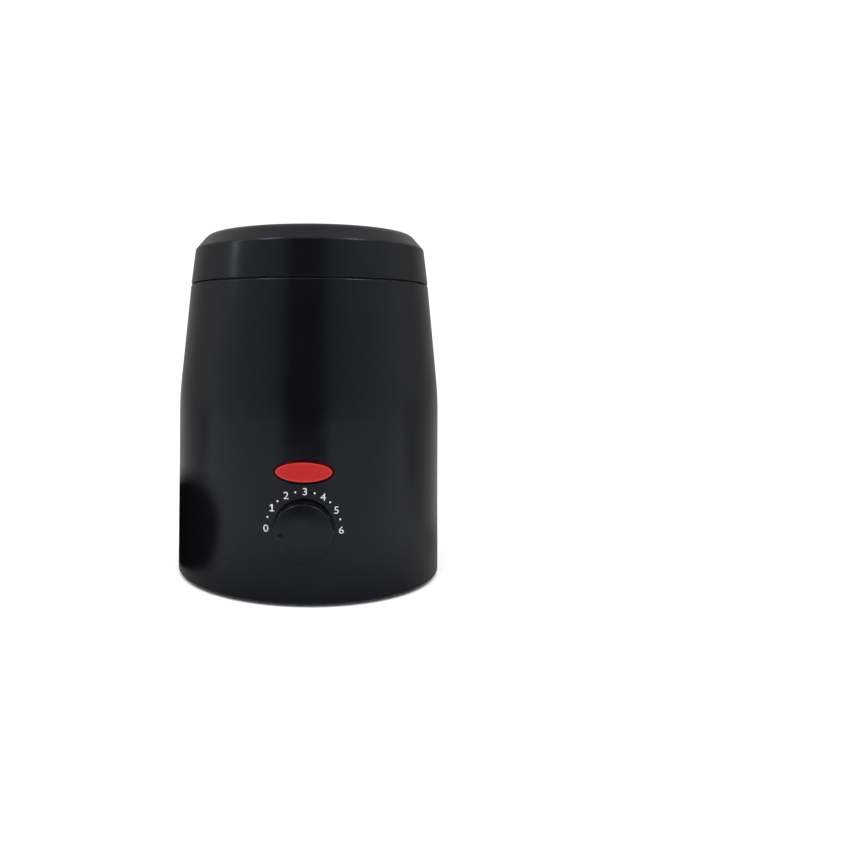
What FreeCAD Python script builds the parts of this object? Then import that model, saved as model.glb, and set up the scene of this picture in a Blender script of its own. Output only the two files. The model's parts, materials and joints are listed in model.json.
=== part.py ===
import FreeCAD, Part
import math
import os

# A tabletop heater that melts depilatory wax in a removable pot under a lift-off lid.
# Millimetres, +Z up, front towards -Y, origin on the table under the body's axis.

# Outer form
HEIGHT = 150.0  # table to the top of the lid
FOOT_PROUD = 1.5  # the feet hold the lower rim this far off the table
RIM_R = 59.0  # body at its lower rim
SHOULDER_R = 57.9  # where the upright wall turns into the cone
SHOULDER_Z = 79.5
SHOULDER_BLEND = 140.0  # radius of that turn
SEAM_R = 52.7  # body and lid where they meet
SEAM_GAP = 0.5
LID_H = 22.0  # seam to the top of the lid
LID_EDGE_R = 50.7  # lid at the foot of its bevel
BEVEL_H = 6.6
TOP_R = 45.0  # where the bevel would meet the flat top
RIM_ROUND = 0.8  # lower outside edge of the body
EDGE_ROUND = 0.6  # small visible edges
LID_CORNER_ROUND = 1.6  # foot of the lid's bevel
LID_TOP_ROUND = 5.0  # bevel into the flat top
WALL = 2.4  # body wall
LID_WALL = 2.2

# Clearances shared by the pieces
FIT_GAP = 0.3  # a piece that rests on another
SLIDE_GAP = 0.4  # a piece that lifts out of another
SEAT_GAP = 0.15  # a fixed piece in its hole
RUNNING_GAP = 0.06  # a pin that turns in its hole
CUT_OVERRUN = 1.0

# Lid lip and deck
LIP_T = 1.8
LIP_SHOULDER = 2.0  # thick ring above the lip
DECK_DROP = 6.0  # deck below the seam
DECK_T = 2.5
DECK_REVEAL = 1.6  # deck hole beyond the chamber's bore

# Bail
BAIL_WIRE_R = 1.25
BAIL_GAP = 1.6  # wire to the lid's lip
BAIL_FLATTEN = 1.8  # the arch reaches less far than its radius
BAIL_BEND = 2.6  # bend between arch and pivot pin
PIN_STUB = 1.4  # pin past the inside of the ear
EAR_T = 1.2
EAR_GAP = 0.4  # ear to the wire's bend
EAR_W = 8.0
EAR_RISE = 3.6  # pivot above the pot's flange

# Wax pot
POT_T = 0.8
POT_FLANGE_T = 1.0
POT_FLANGE_W = 5.5
POT_RIM_GAP = 2.4  # flange to the lid's lip
POT_TAPER = 0.6  # the pot is this much smaller in radius at its foot
POT_FOOT_ROUND = 5.0

# Heating chamber, gasket and insulation
CHAMBER_T = 1.0
CHAMBER_FLANGE_T = 1.0
CHAMBER_FOOT_ROUND = 4.0
GASKET_T = 1.5
INSULATION_T = 4.3
INSULATION_LIFT = 2.0  # insulation above the chamber's floor
INSULATION_GAP = 0.2

# Heating plate and the bracket that presses it up
HEATER_T = 8.0
HEATER_MARGIN = 4.6  # plate inside the chamber's bore
HEATER_EDGE = 0.8
HEATER_PIN_R = 1.6
HEATER_PIN_L = 5.0
HEATER_PIN_INSET = 10.0  # pin inside the plate's edge
HEATER_PIN_AZIMUTHS_DEG = (30.0, 150.0)
BRACKET_T = 1.2
BRACKET_HUB_GAP = 7.4  # hub to the heating plate's pins
BRACKET_ARM_W = 11.0
BRACKET_AZIMUTHS_DEG = (90.0, 210.0, 330.0)
POST_R = 3.2
POST_GAP = 0.5
WEB_T = 2.2
BAY_GAP = 4.2  # bracket above the thermostat

# Fasteners
SCREW_R = 1.25
SCREW_HEAD_R = 2.7
SCREW_HEAD_H = 1.8
SCREW_LENGTH = 7.0
SCREW_SLOT_W = 0.7
SCREW_SLOT_DEPTH = 0.8
PILOT_GAP = 0.05  # pilot hole round the screw
HOLE_GAP = 0.25  # through hole round the screw
PILOT_SPARE = 1.5  # pilot hole past the screw's tip

# Base cover, feet and base screws
COVER_T = 2.4
COVER_INSET = 1.0
COVER_RIM_T = 1.6
COVER_RIM_H = 2.0
WELL_RISE = 3.0
WELL_FLOOR = 1.6
WELL_GAP = 0.5
WELL_WALL = 1.4
BASE_SCREW_AZIMUTHS_DEG = (0.0, 120.0, 240.0)
BASE_BOSS_R = 4.0
BASE_BOSS_H = 8.0
BASE_BOSS_INSET = 3.4  # boss axis inside the wall
FOOT_R = 6.0
FOOT_RECESS = 1.0
FOOT_INSET = 13.2  # foot's axis inside the cover's edge
FOOT_AZIMUTHS_DEG = {"rear_right": 45.0, "rear_left": 135.0, "front_left": 225.0, "front_right": 315.0}
VENT_COUNT = 5
VENT_PITCH = 6.0
VENT_LENGTH = 36.0
VENT_WIDTH = 3.0
VENT_NEAREST_Y = -4.0

# Thermostat, shaft and knob
KNOB_Z = 30.4
KNOB_R = 12.0
KNOB_FACE_R = 11.6
KNOB_PROUD = 7.0
KNOB_FACE_T = 2.0
KNOB_SKIRT_T = 1.6
KNOB_BOSS_R = 4.8
KNOB_ROUND = 0.7
KNOB_CROWN = 0.5  # middle of the face above its edge
KNOB_REST_ANGLE_DEG = 185.0  # the pointer at rest, anticlockwise from the right
POINTER_INSET = 3.1  # pointer inside the face's edge
POINTER_BALL_R = 1.2
POINTER_DEPTH = 0.55
KNOB_SEAT_DEPTH = 1.4  # flat seat cut into the body behind the knob
KNOB_SEAT_GAP = 0.5
KNOB_PAD_R = 9.0
KNOB_PAD_T = 1.6
SHAFT_R = 3.0
SHAFT_FLAT = 2.3  # axis to the flat
SHAFT_HOLE_GAP = 0.6
SHAFT_IN_KNOB = 5.0
SHAFT_IN_BODY = 9.0
THERMOSTAT_W = 27.0
THERMOSTAT_H = 26.0
THERMOSTAT_D = 17.0
THERMOSTAT_EDGE = 1.5
THERMOSTAT_SETBACK = 0.6  # ends of the plate behind the body's wall
PLATE_T = 1.2
PLATE_H = 14.0
PLATE_END = 4.0  # plate past its screws
PLATE_SCREW_GAP = 0.8  # screw's head to the case
PLATE_ROUND = 4.0
PLATE_BOSS_R = 3.4
NECK_R = 4.5
NECK_GAP = 0.4  # neck to the pad
TAB_W = 6.3
TAB_T = 0.8
TAB_L = 7.0
TAB_X = 7.0

# Sensor
BULB_R = 2.5
BULB_L = 28.0
BULB_AZIMUTH_DEG = 300.0
BULB_TAIL = 5.0  # bulb out of the plate
CAPILLARY_R = 0.7
CAPILLARY_RUN = 6.0
CAPILLARY_X = 9.0
CAPILLARY_BACK = 9.0  # entry behind the thermostat's front

# Indicator
LENS_RISE = 22.8  # lens above the knob
LENS_W = 23.6
LENS_H = 9.2
LENS_PROUD = 0.5
LENS_ROUND = 0.8
LENS_FLANGE = 1.6
LENS_FLANGE_T = 1.2
HOLDER_MARGIN = 0.9  # holder past the lens's outline
HOLDER_D = 7.25
HOLDER_WALL = 1.2
HOLDER_EAR_R = 3.4
HOLDER_EAR_GAP = 0.7  # ear to the lens's flange
HOLDER_EAR_T = 1.4
HOLDER_BOSS = 2.2  # boss past the wall at the ears
HOLDER_BACK_GAP = 1.0  # holder to the insulation
LAMP_R = 2.4
LAMP_L = 8.0
LAMP_TIP_GAP = 1.2  # lamp behind the lens
LAMP_PIN_R = 0.4
LAMP_PIN_L = 2.0
LAMP_PIN_PITCH = 2.4

# Cord gland
GLAND_RISE = 1.7  # nut above the base cover's rim
GLAND_BORE_R = 3.3
GLAND_NECK_R = 5.0
GLAND_FLANGE_R = 7.0
GLAND_NOSE_R = 5.2
GLAND_FLANGE_T = 2.2
GLAND_PROUD = 6.6
GLAND_SPOT = 0.6  # flat cut into the body under the flange
GLAND_TAIL = 5.0  # neck past the wall
GLAND_NUT_R = 7.4
GLAND_NUT_T = 2.6
GLAND_NUT_SIDES = 6
GLAND_PAD_T = 1.2

# Terminal block
BLOCK_W = 20.0
BLOCK_D = 15.0
BLOCK_H = 12.0
BLOCK_Y = 24.0
BLOCK_EDGE = 1.0
BLOCK_POLE_X = 5.6
BLOCK_HOLE_R = 1.8
BLOCK_PAD_R = 3.6
BLOCK_PAD_H = 6.0
BLOCK_SCREW_DROP = 6.0  # fixing screw's head below the top
POLE_SPREAD = 0.9  # each of two leads in one hole, off its middle

# Thermal fuse
FUSE_R = 2.0
FUSE_L = 11.0
FUSE_INSET = 21.8  # middle of the fuse inside the rear post
FUSE_PIN_R = 0.5
FUSE_PIN_L = 3.0
CLIP_T = 0.6
CLIP_W = 5.0
CLIP_FOOT = 2.6

# Leads
LEAD_R = 0.9
LEAD_END = 6.0  # straight stretch at each end of a lead
LEAD_SAG = 7.0
LAMP_LEAD_R = 0.6
LAMP_LEAD_END = 2.5
LAMP_LEAD_X = 3.5
BEND_SHARE = 0.45  # of the shorter run, given to each bend

# Angles
FULL_TURN_DEG = 360.0
HALF_TURN_DEG = 180.0
QUARTER_TURN_DEG = 90.0
RIGHT_SIDE_DEG = 0.0
PROFILE_AZIMUTH_DEG = 62.0  # keeps the join of turned faces clear of other features

# Places worked out from the sizes above
ORIGIN = FreeCAD.Vector(0, 0, 0)
UP = FreeCAD.Vector(0, 0, 1)
RIGHT = FreeCAD.Vector(1, 0, 0)
BACK = FreeCAD.Vector(0, 1, 0)
FRONT = FreeCAD.Vector(0, -1, 0)

base_z = FOOT_PROUD
seam_z = HEIGHT - LID_H
body_r = max(RIM_R, SHOULDER_R, SEAM_R)


def outer_radius(z):
    """The body's outside at height z, away from the shoulder's blend."""
    if z < SHOULDER_Z:
        share = (z - base_z) / (SHOULDER_Z - base_z)
        return RIM_R + (SHOULDER_R - RIM_R) * share
    share = (z - SHOULDER_Z) / (seam_z - SHOULDER_Z)
    return SHOULDER_R + (SEAM_R - SHOULDER_R) * share


def inner_radius(z):
    return outer_radius(z) - WALL


# Heights, from the table up
cover_z = base_z + COVER_INSET
cover_top = cover_z + COVER_T
well_top = cover_top + WELL_RISE
gland_z = cover_top + COVER_RIM_H + GLAND_RISE + GLAND_NUT_R
block_z = cover_top + BLOCK_PAD_H
pole_z = block_z + BLOCK_H / 2
lens_z = KNOB_Z + LENS_RISE
holder_h = LENS_H + 2 * HOLDER_MARGIN
bay_top = min(KNOB_Z + THERMOSTAT_H / 2, lens_z - holder_h / 2 - FIT_GAP)
bracket_z = bay_top + BAY_GAP
heater_z = bracket_z + BRACKET_T
bulb_z = heater_z + HEATER_T / 2
chamber_z = heater_z + HEATER_T
pot_z = chamber_z + CHAMBER_T + FIT_GAP
deck_z = seam_z - DECK_DROP
gasket_z = deck_z - DECK_T - GASKET_T
pot_flange_z = deck_z + FIT_GAP
pot_top = pot_flange_z + POT_FLANGE_T
pivot_z = pot_top + EAR_RISE

# The room that the lid's lip, the wall, the bracket's arms and the lamp holder leave
lip_r = min(inner_radius(seam_z), inner_radius(deck_z)) - SLIDE_GAP
lip_bore_r = lip_r - LIP_T
holder_front_r = inner_radius(lens_z) - LENS_FLANGE_T - FIT_GAP
holder_back_r = holder_front_r - HOLDER_D
arm_room_r = inner_radius(bracket_z) - FIT_GAP - BRACKET_ARM_W / 2
insulation_room_r = min(
    arm_room_r - POST_R - POST_GAP,
    inner_radius(SHOULDER_Z) - POST_GAP,
    holder_back_r - HOLDER_BACK_GAP,
)
chamber_layers = SLIDE_GAP + CHAMBER_T + INSULATION_GAP + INSULATION_T

# Radii from the pot outwards
pot_r = min(lip_bore_r - POT_RIM_GAP - POT_FLANGE_W, insulation_room_r - chamber_layers)
pot_flange_r = pot_r + POT_FLANGE_W
chamber_bore_r = pot_r + SLIDE_GAP
chamber_r = chamber_bore_r + CHAMBER_T
deck_hole_r = chamber_bore_r + DECK_REVEAL
insulation_r = pot_r + chamber_layers
heater_r = chamber_bore_r - HEATER_MARGIN
heater_pin_circle = heater_r - HEATER_PIN_INSET
bracket_hub_r = heater_pin_circle - HEATER_PIN_R - BRACKET_HUB_GAP
post_circle = insulation_r + POST_GAP + POST_R
fuse_y = post_circle - FUSE_INSET
fuse_z = bracket_z - FUSE_R - SEAT_GAP

# Depths from the wall inwards
knob_wall_r = outer_radius(KNOB_Z)
knob_seat_y = -(knob_wall_r - KNOB_SEAT_DEPTH)
knob_back_y = knob_seat_y - FIT_GAP
knob_depth = knob_wall_r + KNOB_PROUD + knob_back_y
knob_pad_y = -(inner_radius(KNOB_Z) - KNOB_PAD_T)
pointer_circle = KNOB_FACE_R - POINTER_INSET
plate_hole_x = THERMOSTAT_W / 2 + PLATE_SCREW_GAP + SCREW_HEAD_R
plate_w = 2 * (plate_hole_x + PLATE_END)
plate_room_r = min(inner_radius(KNOB_Z - PLATE_H / 2), inner_radius(KNOB_Z + PLATE_H / 2))
plate_y = THERMOSTAT_SETBACK - math.sqrt(plate_room_r ** 2 - (plate_w / 2) ** 2)
thermostat_y = plate_y + PLATE_T
thermostat_back = thermostat_y + THERMOSTAT_D
lens_wall_r = outer_radius(lens_z)
holder_back_y = -holder_back_r
holder_w = LENS_W + 2 * HOLDER_MARGIN
holder_ear_x = LENS_W / 2 + LENS_FLANGE + HOLDER_EAR_GAP + HOLDER_EAR_R
holder_ear_y = HOLDER_BOSS - math.sqrt(inner_radius(lens_z) ** 2 - holder_ear_x ** 2)
lamp_tip_y = LAMP_TIP_GAP - holder_front_r
gland_face_y = outer_radius(gland_z) - GLAND_SPOT
gland_pad_y = inner_radius(gland_z) - GLAND_PAD_T
cover_r = min(inner_radius(cover_z), inner_radius(cover_top + COVER_RIM_H)) - FIT_GAP
foot_circle = cover_r - FOOT_INSET
base_boss_circle = inner_radius(well_top) - BASE_BOSS_INSET

# Bail and its ears
arch_r = pot_flange_r + POT_RIM_GAP - BAIL_GAP - BAIL_WIRE_R
arch_reach = arch_r - BAIL_FLATTEN
bail_bend_x = math.sqrt((arch_r - BAIL_BEND) ** 2 - (BAIL_BEND + BAIL_FLATTEN) ** 2)
ear_outside = bail_bend_x - EAR_GAP
ear_inside = ear_outside - EAR_T
bail_rest_drop = pivot_z - (pot_top + FIT_GAP + BAIL_WIRE_R)
bail_rest_tilt = math.degrees(math.asin(bail_rest_drop / arch_reach))


# Shared shapes


def polar(radius, azimuth, z):
    angle = math.radians(azimuth)
    return FreeCAD.Vector(radius * math.cos(angle), radius * math.sin(angle), z)


def rounded_edges(points, radii, closed):
    """Straight runs through the points, with a tangent arc of each point's radius."""
    count = len(points)
    starts = list(points)
    ends = list(points)
    arcs = [None] * count
    for i in range(count):
        inner = closed or 0 < i < count - 1
        if not inner or not radii[i]:
            continue
        here = points[i]
        toward_last = points[i - 1] - here
        toward_next = points[(i + 1) % count] - here
        half = toward_last.getAngle(toward_next) / 2
        reach = min(radii[i] / math.tan(half), toward_last.Length / 2, toward_next.Length / 2)
        radius = reach * math.tan(half)
        toward_last.normalize()
        toward_next.normalize()
        middle = toward_last + toward_next
        middle.normalize()
        starts[i] = here + toward_last * reach
        ends[i] = here + toward_next * reach
        crown = here + middle * (radius / math.sin(half) - radius)
        arcs[i] = Part.Arc(starts[i], crown, ends[i]).toShape()
    edges = []
    for i in range(count):
        if arcs[i]:
            edges.append(arcs[i])
        if closed or i < count - 1:
            after = (i + 1) % count
            if (starts[after] - ends[i]).Length > Part.Precision.confusion():
                edges.append(Part.LineSegment(ends[i], starts[after]).toShape())
    return edges


def closed_face(points, radii):
    return Part.Face(Part.Wire(rounded_edges(points, radii, True)))


def turned(corners):
    """A solid turned about Z from (radius, z) or (radius, z, rounding) corners."""
    points = [FreeCAD.Vector(c[0], 0, c[1]) for c in corners]
    radii = [c[2] if len(c) > 2 else 0 for c in corners]
    solid = closed_face(points, radii).revolve(ORIGIN, UP, FULL_TURN_DEG)
    solid.rotate(ORIGIN, UP, PROFILE_AZIMUTH_DEG)
    return solid


def ring(inside, outside, z, height):
    return turned([(inside, z), (outside, z), (outside, z + height), (inside, z + height)])


def plate(points, radii, height):
    return closed_face(points, radii).extrude(UP * height)


def rod(radius, start, direction, length):
    return Part.makeCylinder(radius, length, start, direction)


def block(width, depth, height, centre_x, front_y, z):
    return Part.makeBox(width, depth, height, FreeCAD.Vector(centre_x - width / 2, front_y, z))


def tube(points, radius):
    """A round wire along straight runs joined by bends as large as the runs allow."""
    radii = [0] * len(points)
    for i in range(1, len(points) - 1):
        toward_last = points[i - 1] - points[i]
        toward_next = points[i + 1] - points[i]
        shorter = min(toward_last.Length, toward_next.Length)
        radii[i] = BEND_SHARE * shorter * math.tan(toward_last.getAngle(toward_next) / 2)
    path = Part.Wire(rounded_edges(points, radii, False))
    section = Part.Wire(Part.makeCircle(radius, points[0], points[1] - points[0]))
    return path.makePipeShell([section], True, True)


def facing_front(shape, y, z):
    """Turns a shape made along +Z to point out of the front, at depth y and height z."""
    shape.rotate(ORIGIN, RIGHT, QUARTER_TURN_DEG)
    shape.translate(FreeCAD.Vector(0, y, z))
    return shape


def facing_back(shape, y, z):
    shape.rotate(ORIGIN, RIGHT, -QUARTER_TURN_DEG)
    shape.translate(FreeCAD.Vector(0, y, z))
    return shape


def about_axis(shape, azimuth):
    """A copy of a shape made on the +X side, carried round the body's axis."""
    copy = shape.copy()
    copy.rotate(ORIGIN, UP, azimuth)
    return copy


def screw(length):
    """A slotted pan-head screw, head down at z 0 with its shank along +Z."""
    head = turned([
        (0, 0),
        (SCREW_HEAD_R, 0, SCREW_HEAD_H / 2),
        (SCREW_HEAD_R, SCREW_HEAD_H),
        (SCREW_R, SCREW_HEAD_H),
        (SCREW_R, SCREW_HEAD_H + length, SCREW_R / 2),
        (0, SCREW_HEAD_H + length),
    ])
    span = 2 * (SCREW_HEAD_R + CUT_OVERRUN)
    return head.cut(block(span, SCREW_SLOT_W, SCREW_SLOT_DEPTH, 0, -SCREW_SLOT_W / 2, 0))


def moved(shape, place):
    copy = shape.copy()
    copy.translate(place)
    return copy


def elliptic_prism(width, height, length):
    """An upright oval prism along +Z."""
    oval = Part.Ellipse(ORIGIN, width / 2, height / 2).toShape()
    return Part.Face(Part.Wire(oval)).extrude(UP * length)


def wall_core(offset):
    """All that lies inside an offset of the body's outer face, at the lens's height."""
    low = lens_z - LENS_H
    high = lens_z + LENS_H
    return turned([
        (0, low),
        (outer_radius(low) + offset, low),
        (outer_radius(high) + offset, high),
        (0, high),
    ])


# Body


def body_core():
    """Everything inside the middle of the body's wall, to trim what is joined to the wall."""
    half = WALL / 2
    return turned([
        (0, base_z),
        (RIM_R - half, base_z),
        (SHOULDER_R - half, SHOULDER_Z, SHOULDER_BLEND),
        (SEAM_R - half, seam_z),
        (0, seam_z),
    ])


def wall_boss(azimuth, circle, radius, low, high):
    """An upright screw boss with a web to the wall."""
    boss = rod(radius, polar(circle, RIGHT_SIDE_DEG, low), UP, high - low)
    web = Part.makeBox(body_r - circle, WEB_T, high - low, FreeCAD.Vector(circle, -WEB_T / 2, low))
    return about_axis(boss.fuse(web), azimuth)


def housing():
    shell = turned([
        (inner_radius(base_z), base_z),
        (RIM_R, base_z, RIM_ROUND),
        (SHOULDER_R, SHOULDER_Z, SHOULDER_BLEND),
        (SEAM_R, seam_z, EDGE_ROUND),
        (SEAM_R - WALL, seam_z, EDGE_ROUND),
        (inner_radius(deck_z), deck_z),
        (deck_hole_r, deck_z, EDGE_ROUND),
        (deck_hole_r, deck_z - DECK_T),
        (inner_radius(deck_z - DECK_T), deck_z - DECK_T),
        (SHOULDER_R - WALL, SHOULDER_Z, SHOULDER_BLEND),
    ])
    deck_middle = deck_z - DECK_T / 2
    inside = [wall_boss(a, post_circle, POST_R, heater_z, deck_middle) for a in BRACKET_AZIMUTHS_DEG]
    boss_high = well_top + BASE_BOSS_H
    for azimuth in BASE_SCREW_AZIMUTHS_DEG:
        inside.append(wall_boss(azimuth, base_boss_circle, BASE_BOSS_R, well_top, boss_high))
    inside.append(rod(KNOB_PAD_R, FreeCAD.Vector(0, knob_pad_y, KNOB_Z), FRONT, body_r))
    inside.append(rod(GLAND_NUT_R, FreeCAD.Vector(0, gland_pad_y, gland_z), BACK, body_r))
    for side in (-1, 1):
        plate_hole = FreeCAD.Vector(side * plate_hole_x, plate_y, KNOB_Z)
        inside.append(rod(PLATE_BOSS_R, plate_hole, FRONT, body_r))
        ear_hole = FreeCAD.Vector(side * holder_ear_x, holder_ear_y, lens_z)
        inside.append(rod(HOLDER_EAR_R, ear_hole, FRONT, body_r))
    shell = shell.fuse([piece.common(body_core()) for piece in inside])

    pilot = SCREW_R + PILOT_GAP
    pilot_depth = SCREW_LENGTH + PILOT_SPARE
    cuts = [rod(pilot, polar(post_circle, a, heater_z), UP, pilot_depth) for a in BRACKET_AZIMUTHS_DEG]
    for azimuth in BASE_SCREW_AZIMUTHS_DEG:
        cuts.append(rod(pilot, polar(base_boss_circle, azimuth, well_top), UP, pilot_depth))
    for side in (-1, 1):
        plate_hole = FreeCAD.Vector(side * plate_hole_x, plate_y, KNOB_Z)
        cuts.append(rod(pilot, plate_hole, FRONT, short_screw() - PLATE_T + SEAT_GAP))
        ear_hole = FreeCAD.Vector(side * holder_ear_x, holder_ear_y, lens_z)
        cuts.append(rod(pilot, ear_hole, FRONT, short_screw() - HOLDER_EAR_T + SEAT_GAP))
    knob_seat = rod(KNOB_R + KNOB_SEAT_GAP, FreeCAD.Vector(0, knob_seat_y, KNOB_Z), FRONT, body_r)
    shaft_hole = rod(SHAFT_R + SHAFT_HOLE_GAP, FreeCAD.Vector(0, plate_y, KNOB_Z), FRONT, body_r)
    lens_hole = elliptic_prism(LENS_W + 2 * SEAT_GAP, LENS_H + 2 * SEAT_GAP, body_r)
    cuts += [knob_seat, shaft_hole, facing_front(lens_hole, holder_back_y, lens_z)]
    spot = FreeCAD.Vector(0, gland_face_y, gland_z)
    cuts.append(rod(GLAND_FLANGE_R + SLIDE_GAP, spot, BACK, body_r))
    gland_start = FreeCAD.Vector(0, gland_pad_y - CUT_OVERRUN, gland_z)
    cuts.append(rod(GLAND_NECK_R + SEAT_GAP, gland_start, BACK, body_r))
    return shell.cut(cuts)


def short_screw():
    """Screw shank for the bosses on the front wall, which ends inside the wall."""
    return PLATE_T + WALL


def base_cover():
    cover = turned([
        (0, cover_z),
        (cover_r, cover_z, EDGE_ROUND),
        (cover_r, cover_top + COVER_RIM_H),
        (cover_r - COVER_RIM_T, cover_top + COVER_RIM_H),
        (cover_r - COVER_RIM_T, cover_top),
        (0, cover_top),
    ])
    well_r = SCREW_HEAD_R + WELL_GAP
    cuts = []
    for azimuth in BASE_SCREW_AZIMUTHS_DEG:
        place = polar(base_boss_circle, azimuth, cover_z)
        inside = ring(0, cover_r, cover_z, well_top - cover_z)
        cover = cover.fuse(rod(well_r + WELL_WALL, place, UP, well_top - cover_z).common(inside))
        cuts.append(rod(well_r, place, UP, well_top - WELL_FLOOR - cover_z))
        cuts.append(rod(SCREW_R + HOLE_GAP, place, UP, well_top))
    for azimuth in FOOT_AZIMUTHS_DEG.values():
        cuts.append(rod(FOOT_R + SEAT_GAP, polar(foot_circle, azimuth, cover_z), UP, FOOT_RECESS))
    for row in range(VENT_COUNT):
        cuts.append(vent(VENT_NEAREST_Y - row * VENT_PITCH))
    pad = FreeCAD.Vector(0, BLOCK_Y, cover_top)
    cover = cover.fuse(rod(BLOCK_PAD_R, pad, UP, BLOCK_PAD_H))
    block_pilot = FreeCAD.Vector(0, BLOCK_Y, block_z)
    cuts.append(rod(SCREW_R + PILOT_GAP, block_pilot, -UP, BLOCK_PAD_H))
    return cover.cut(cuts)


def vent(y):
    """The cutter of one slot with round ends."""
    x = VENT_LENGTH / 2
    half = VENT_WIDTH / 2
    points = [
        FreeCAD.Vector(-x, y - half, cover_z - CUT_OVERRUN),
        FreeCAD.Vector(x, y - half, cover_z - CUT_OVERRUN),
        FreeCAD.Vector(x, y + half, cover_z - CUT_OVERRUN),
        FreeCAD.Vector(-x, y + half, cover_z - CUT_OVERRUN),
    ]
    return plate(points, [half] * len(points), COVER_T + 2 * CUT_OVERRUN)


def base_screws():
    head_z = well_top - WELL_FLOOR - SCREW_HEAD_H
    length = WELL_FLOOR + SCREW_LENGTH
    places = [polar(base_boss_circle, a, head_z) for a in BASE_SCREW_AZIMUTHS_DEG]
    return Part.makeCompound([moved(screw(length), place) for place in places])


def foot(azimuth):
    pad = turned([
        (0, 0),
        (FOOT_R, 0, EDGE_ROUND),
        (FOOT_R, cover_z + FOOT_RECESS),
        (0, cover_z + FOOT_RECESS),
    ])
    return moved(pad, polar(foot_circle, azimuth, 0))


# Lid


def lid():
    edge_z = seam_z + SEAM_GAP
    bevel_z = HEIGHT - BEVEL_H
    shoulder_z = edge_z + LIP_SHOULDER
    side_slope = (SEAM_R - LID_EDGE_R) / (bevel_z - edge_z)
    inner_edge = SEAM_R - side_slope * LIP_SHOULDER - LID_WALL
    return turned([
        (0, HEIGHT),
        (TOP_R, HEIGHT, LID_TOP_ROUND),
        (LID_EDGE_R, bevel_z, LID_CORNER_ROUND),
        (SEAM_R, edge_z, EDGE_ROUND / 2),
        (lip_r, edge_z),
        (lip_r, deck_z + FIT_GAP, EDGE_ROUND),
        (lip_bore_r, deck_z + FIT_GAP, EDGE_ROUND),
        (lip_bore_r, shoulder_z, EDGE_ROUND),
        (inner_edge, shoulder_z),
        (LID_EDGE_R - LID_WALL, bevel_z, EDGE_ROUND),
        (TOP_R, HEIGHT - LID_WALL, LID_TOP_ROUND - LID_WALL),
        (0, HEIGHT - LID_WALL),
    ])


# Pot and bail


def wax_pot():
    foot_r = pot_r - POT_TAPER
    cup = turned([
        (0, pot_z),
        (foot_r, pot_z, POT_FOOT_ROUND),
        (pot_r, pot_flange_z),
        (pot_flange_r, pot_flange_z, POT_FLANGE_T / 2),
        (pot_flange_r, pot_top, POT_FLANGE_T / 2),
        (pot_r - POT_T, pot_top, EDGE_ROUND),
        (foot_r - POT_T, pot_z + POT_T, POT_FOOT_ROUND - POT_T),
        (0, pot_z + POT_T),
    ])
    for turn in (RIGHT_SIDE_DEG, HALF_TURN_DEG):
        cup = cup.fuse(about_axis(bail_ear(), turn))
    hole_start = FreeCAD.Vector(-arch_r, 0, pivot_z)
    return cup.cut(rod(BAIL_WIRE_R + RUNNING_GAP, hole_start, RIGHT, 2 * arch_r))


def bail_ear():
    """The right-hand ear that carries the bail, standing on the pot's flange."""
    half = EAR_W / 2
    points = [
        FreeCAD.Vector(ear_inside, -half, pot_flange_z + POT_FLANGE_T / 2),
        FreeCAD.Vector(ear_inside, half, pot_flange_z + POT_FLANGE_T / 2),
        FreeCAD.Vector(ear_inside, half, pivot_z + half),
        FreeCAD.Vector(ear_inside, -half, pivot_z + half),
    ]
    return closed_face(points, [0, 0, half, half]).extrude(RIGHT * EAR_T)


def bail():
    """Wire handle, folded back on the pot's flange."""
    centre_y = arch_reach - arch_r
    along = arch_r / (arch_r - BAIL_BEND)
    pin_x = ear_inside - PIN_STUB
    meet_x = bail_bend_x * along
    meet_y = centre_y + (BAIL_BEND - centre_y) * along
    turn = math.atan2(BAIL_BEND - centre_y, bail_bend_x)
    crown_angle = (turn - math.pi / 2) / 2
    crown_x = bail_bend_x + BAIL_BEND * math.cos(crown_angle)
    crown_y = BAIL_BEND + BAIL_BEND * math.sin(crown_angle)

    def point(x, y):
        return FreeCAD.Vector(x, y, pivot_z)

    path = Part.Wire([
        Part.LineSegment(point(pin_x, 0), point(bail_bend_x, 0)).toShape(),
        Part.Arc(point(bail_bend_x, 0), point(crown_x, crown_y), point(meet_x, meet_y)).toShape(),
        Part.Arc(point(meet_x, meet_y), point(0, arch_reach), point(-meet_x, meet_y)).toShape(),
        Part.Arc(point(-meet_x, meet_y), point(-crown_x, crown_y), point(-bail_bend_x, 0)).toShape(),
        Part.LineSegment(point(-bail_bend_x, 0), point(-pin_x, 0)).toShape(),
    ])
    section = Part.Wire(Part.makeCircle(BAIL_WIRE_R, point(pin_x, 0), RIGHT))
    wire = path.makePipeShell([section], True, True)
    wire.rotate(point(0, 0), RIGHT, -bail_rest_tilt)
    return wire


# Heating chamber and what heats it


def heating_chamber():
    flange_z = gasket_z - CHAMBER_FLANGE_T
    return turned([
        (0, chamber_z),
        (chamber_r, chamber_z, CHAMBER_FOOT_ROUND),
        (chamber_r, flange_z, EDGE_ROUND),
        (insulation_r, flange_z),
        (insulation_r, gasket_z),
        (chamber_bore_r, gasket_z, EDGE_ROUND),
        (chamber_bore_r, chamber_z + CHAMBER_T, CHAMBER_FOOT_ROUND - CHAMBER_T),
        (0, chamber_z + CHAMBER_T),
    ])


def gasket_ring():
    return ring(chamber_r, insulation_r, gasket_z, GASKET_T)


def insulation_sleeve():
    low = chamber_z + CHAMBER_T + INSULATION_LIFT
    high = gasket_z - CHAMBER_FLANGE_T - FIT_GAP
    return ring(chamber_r + INSULATION_GAP, insulation_r, low, high - low)


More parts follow.
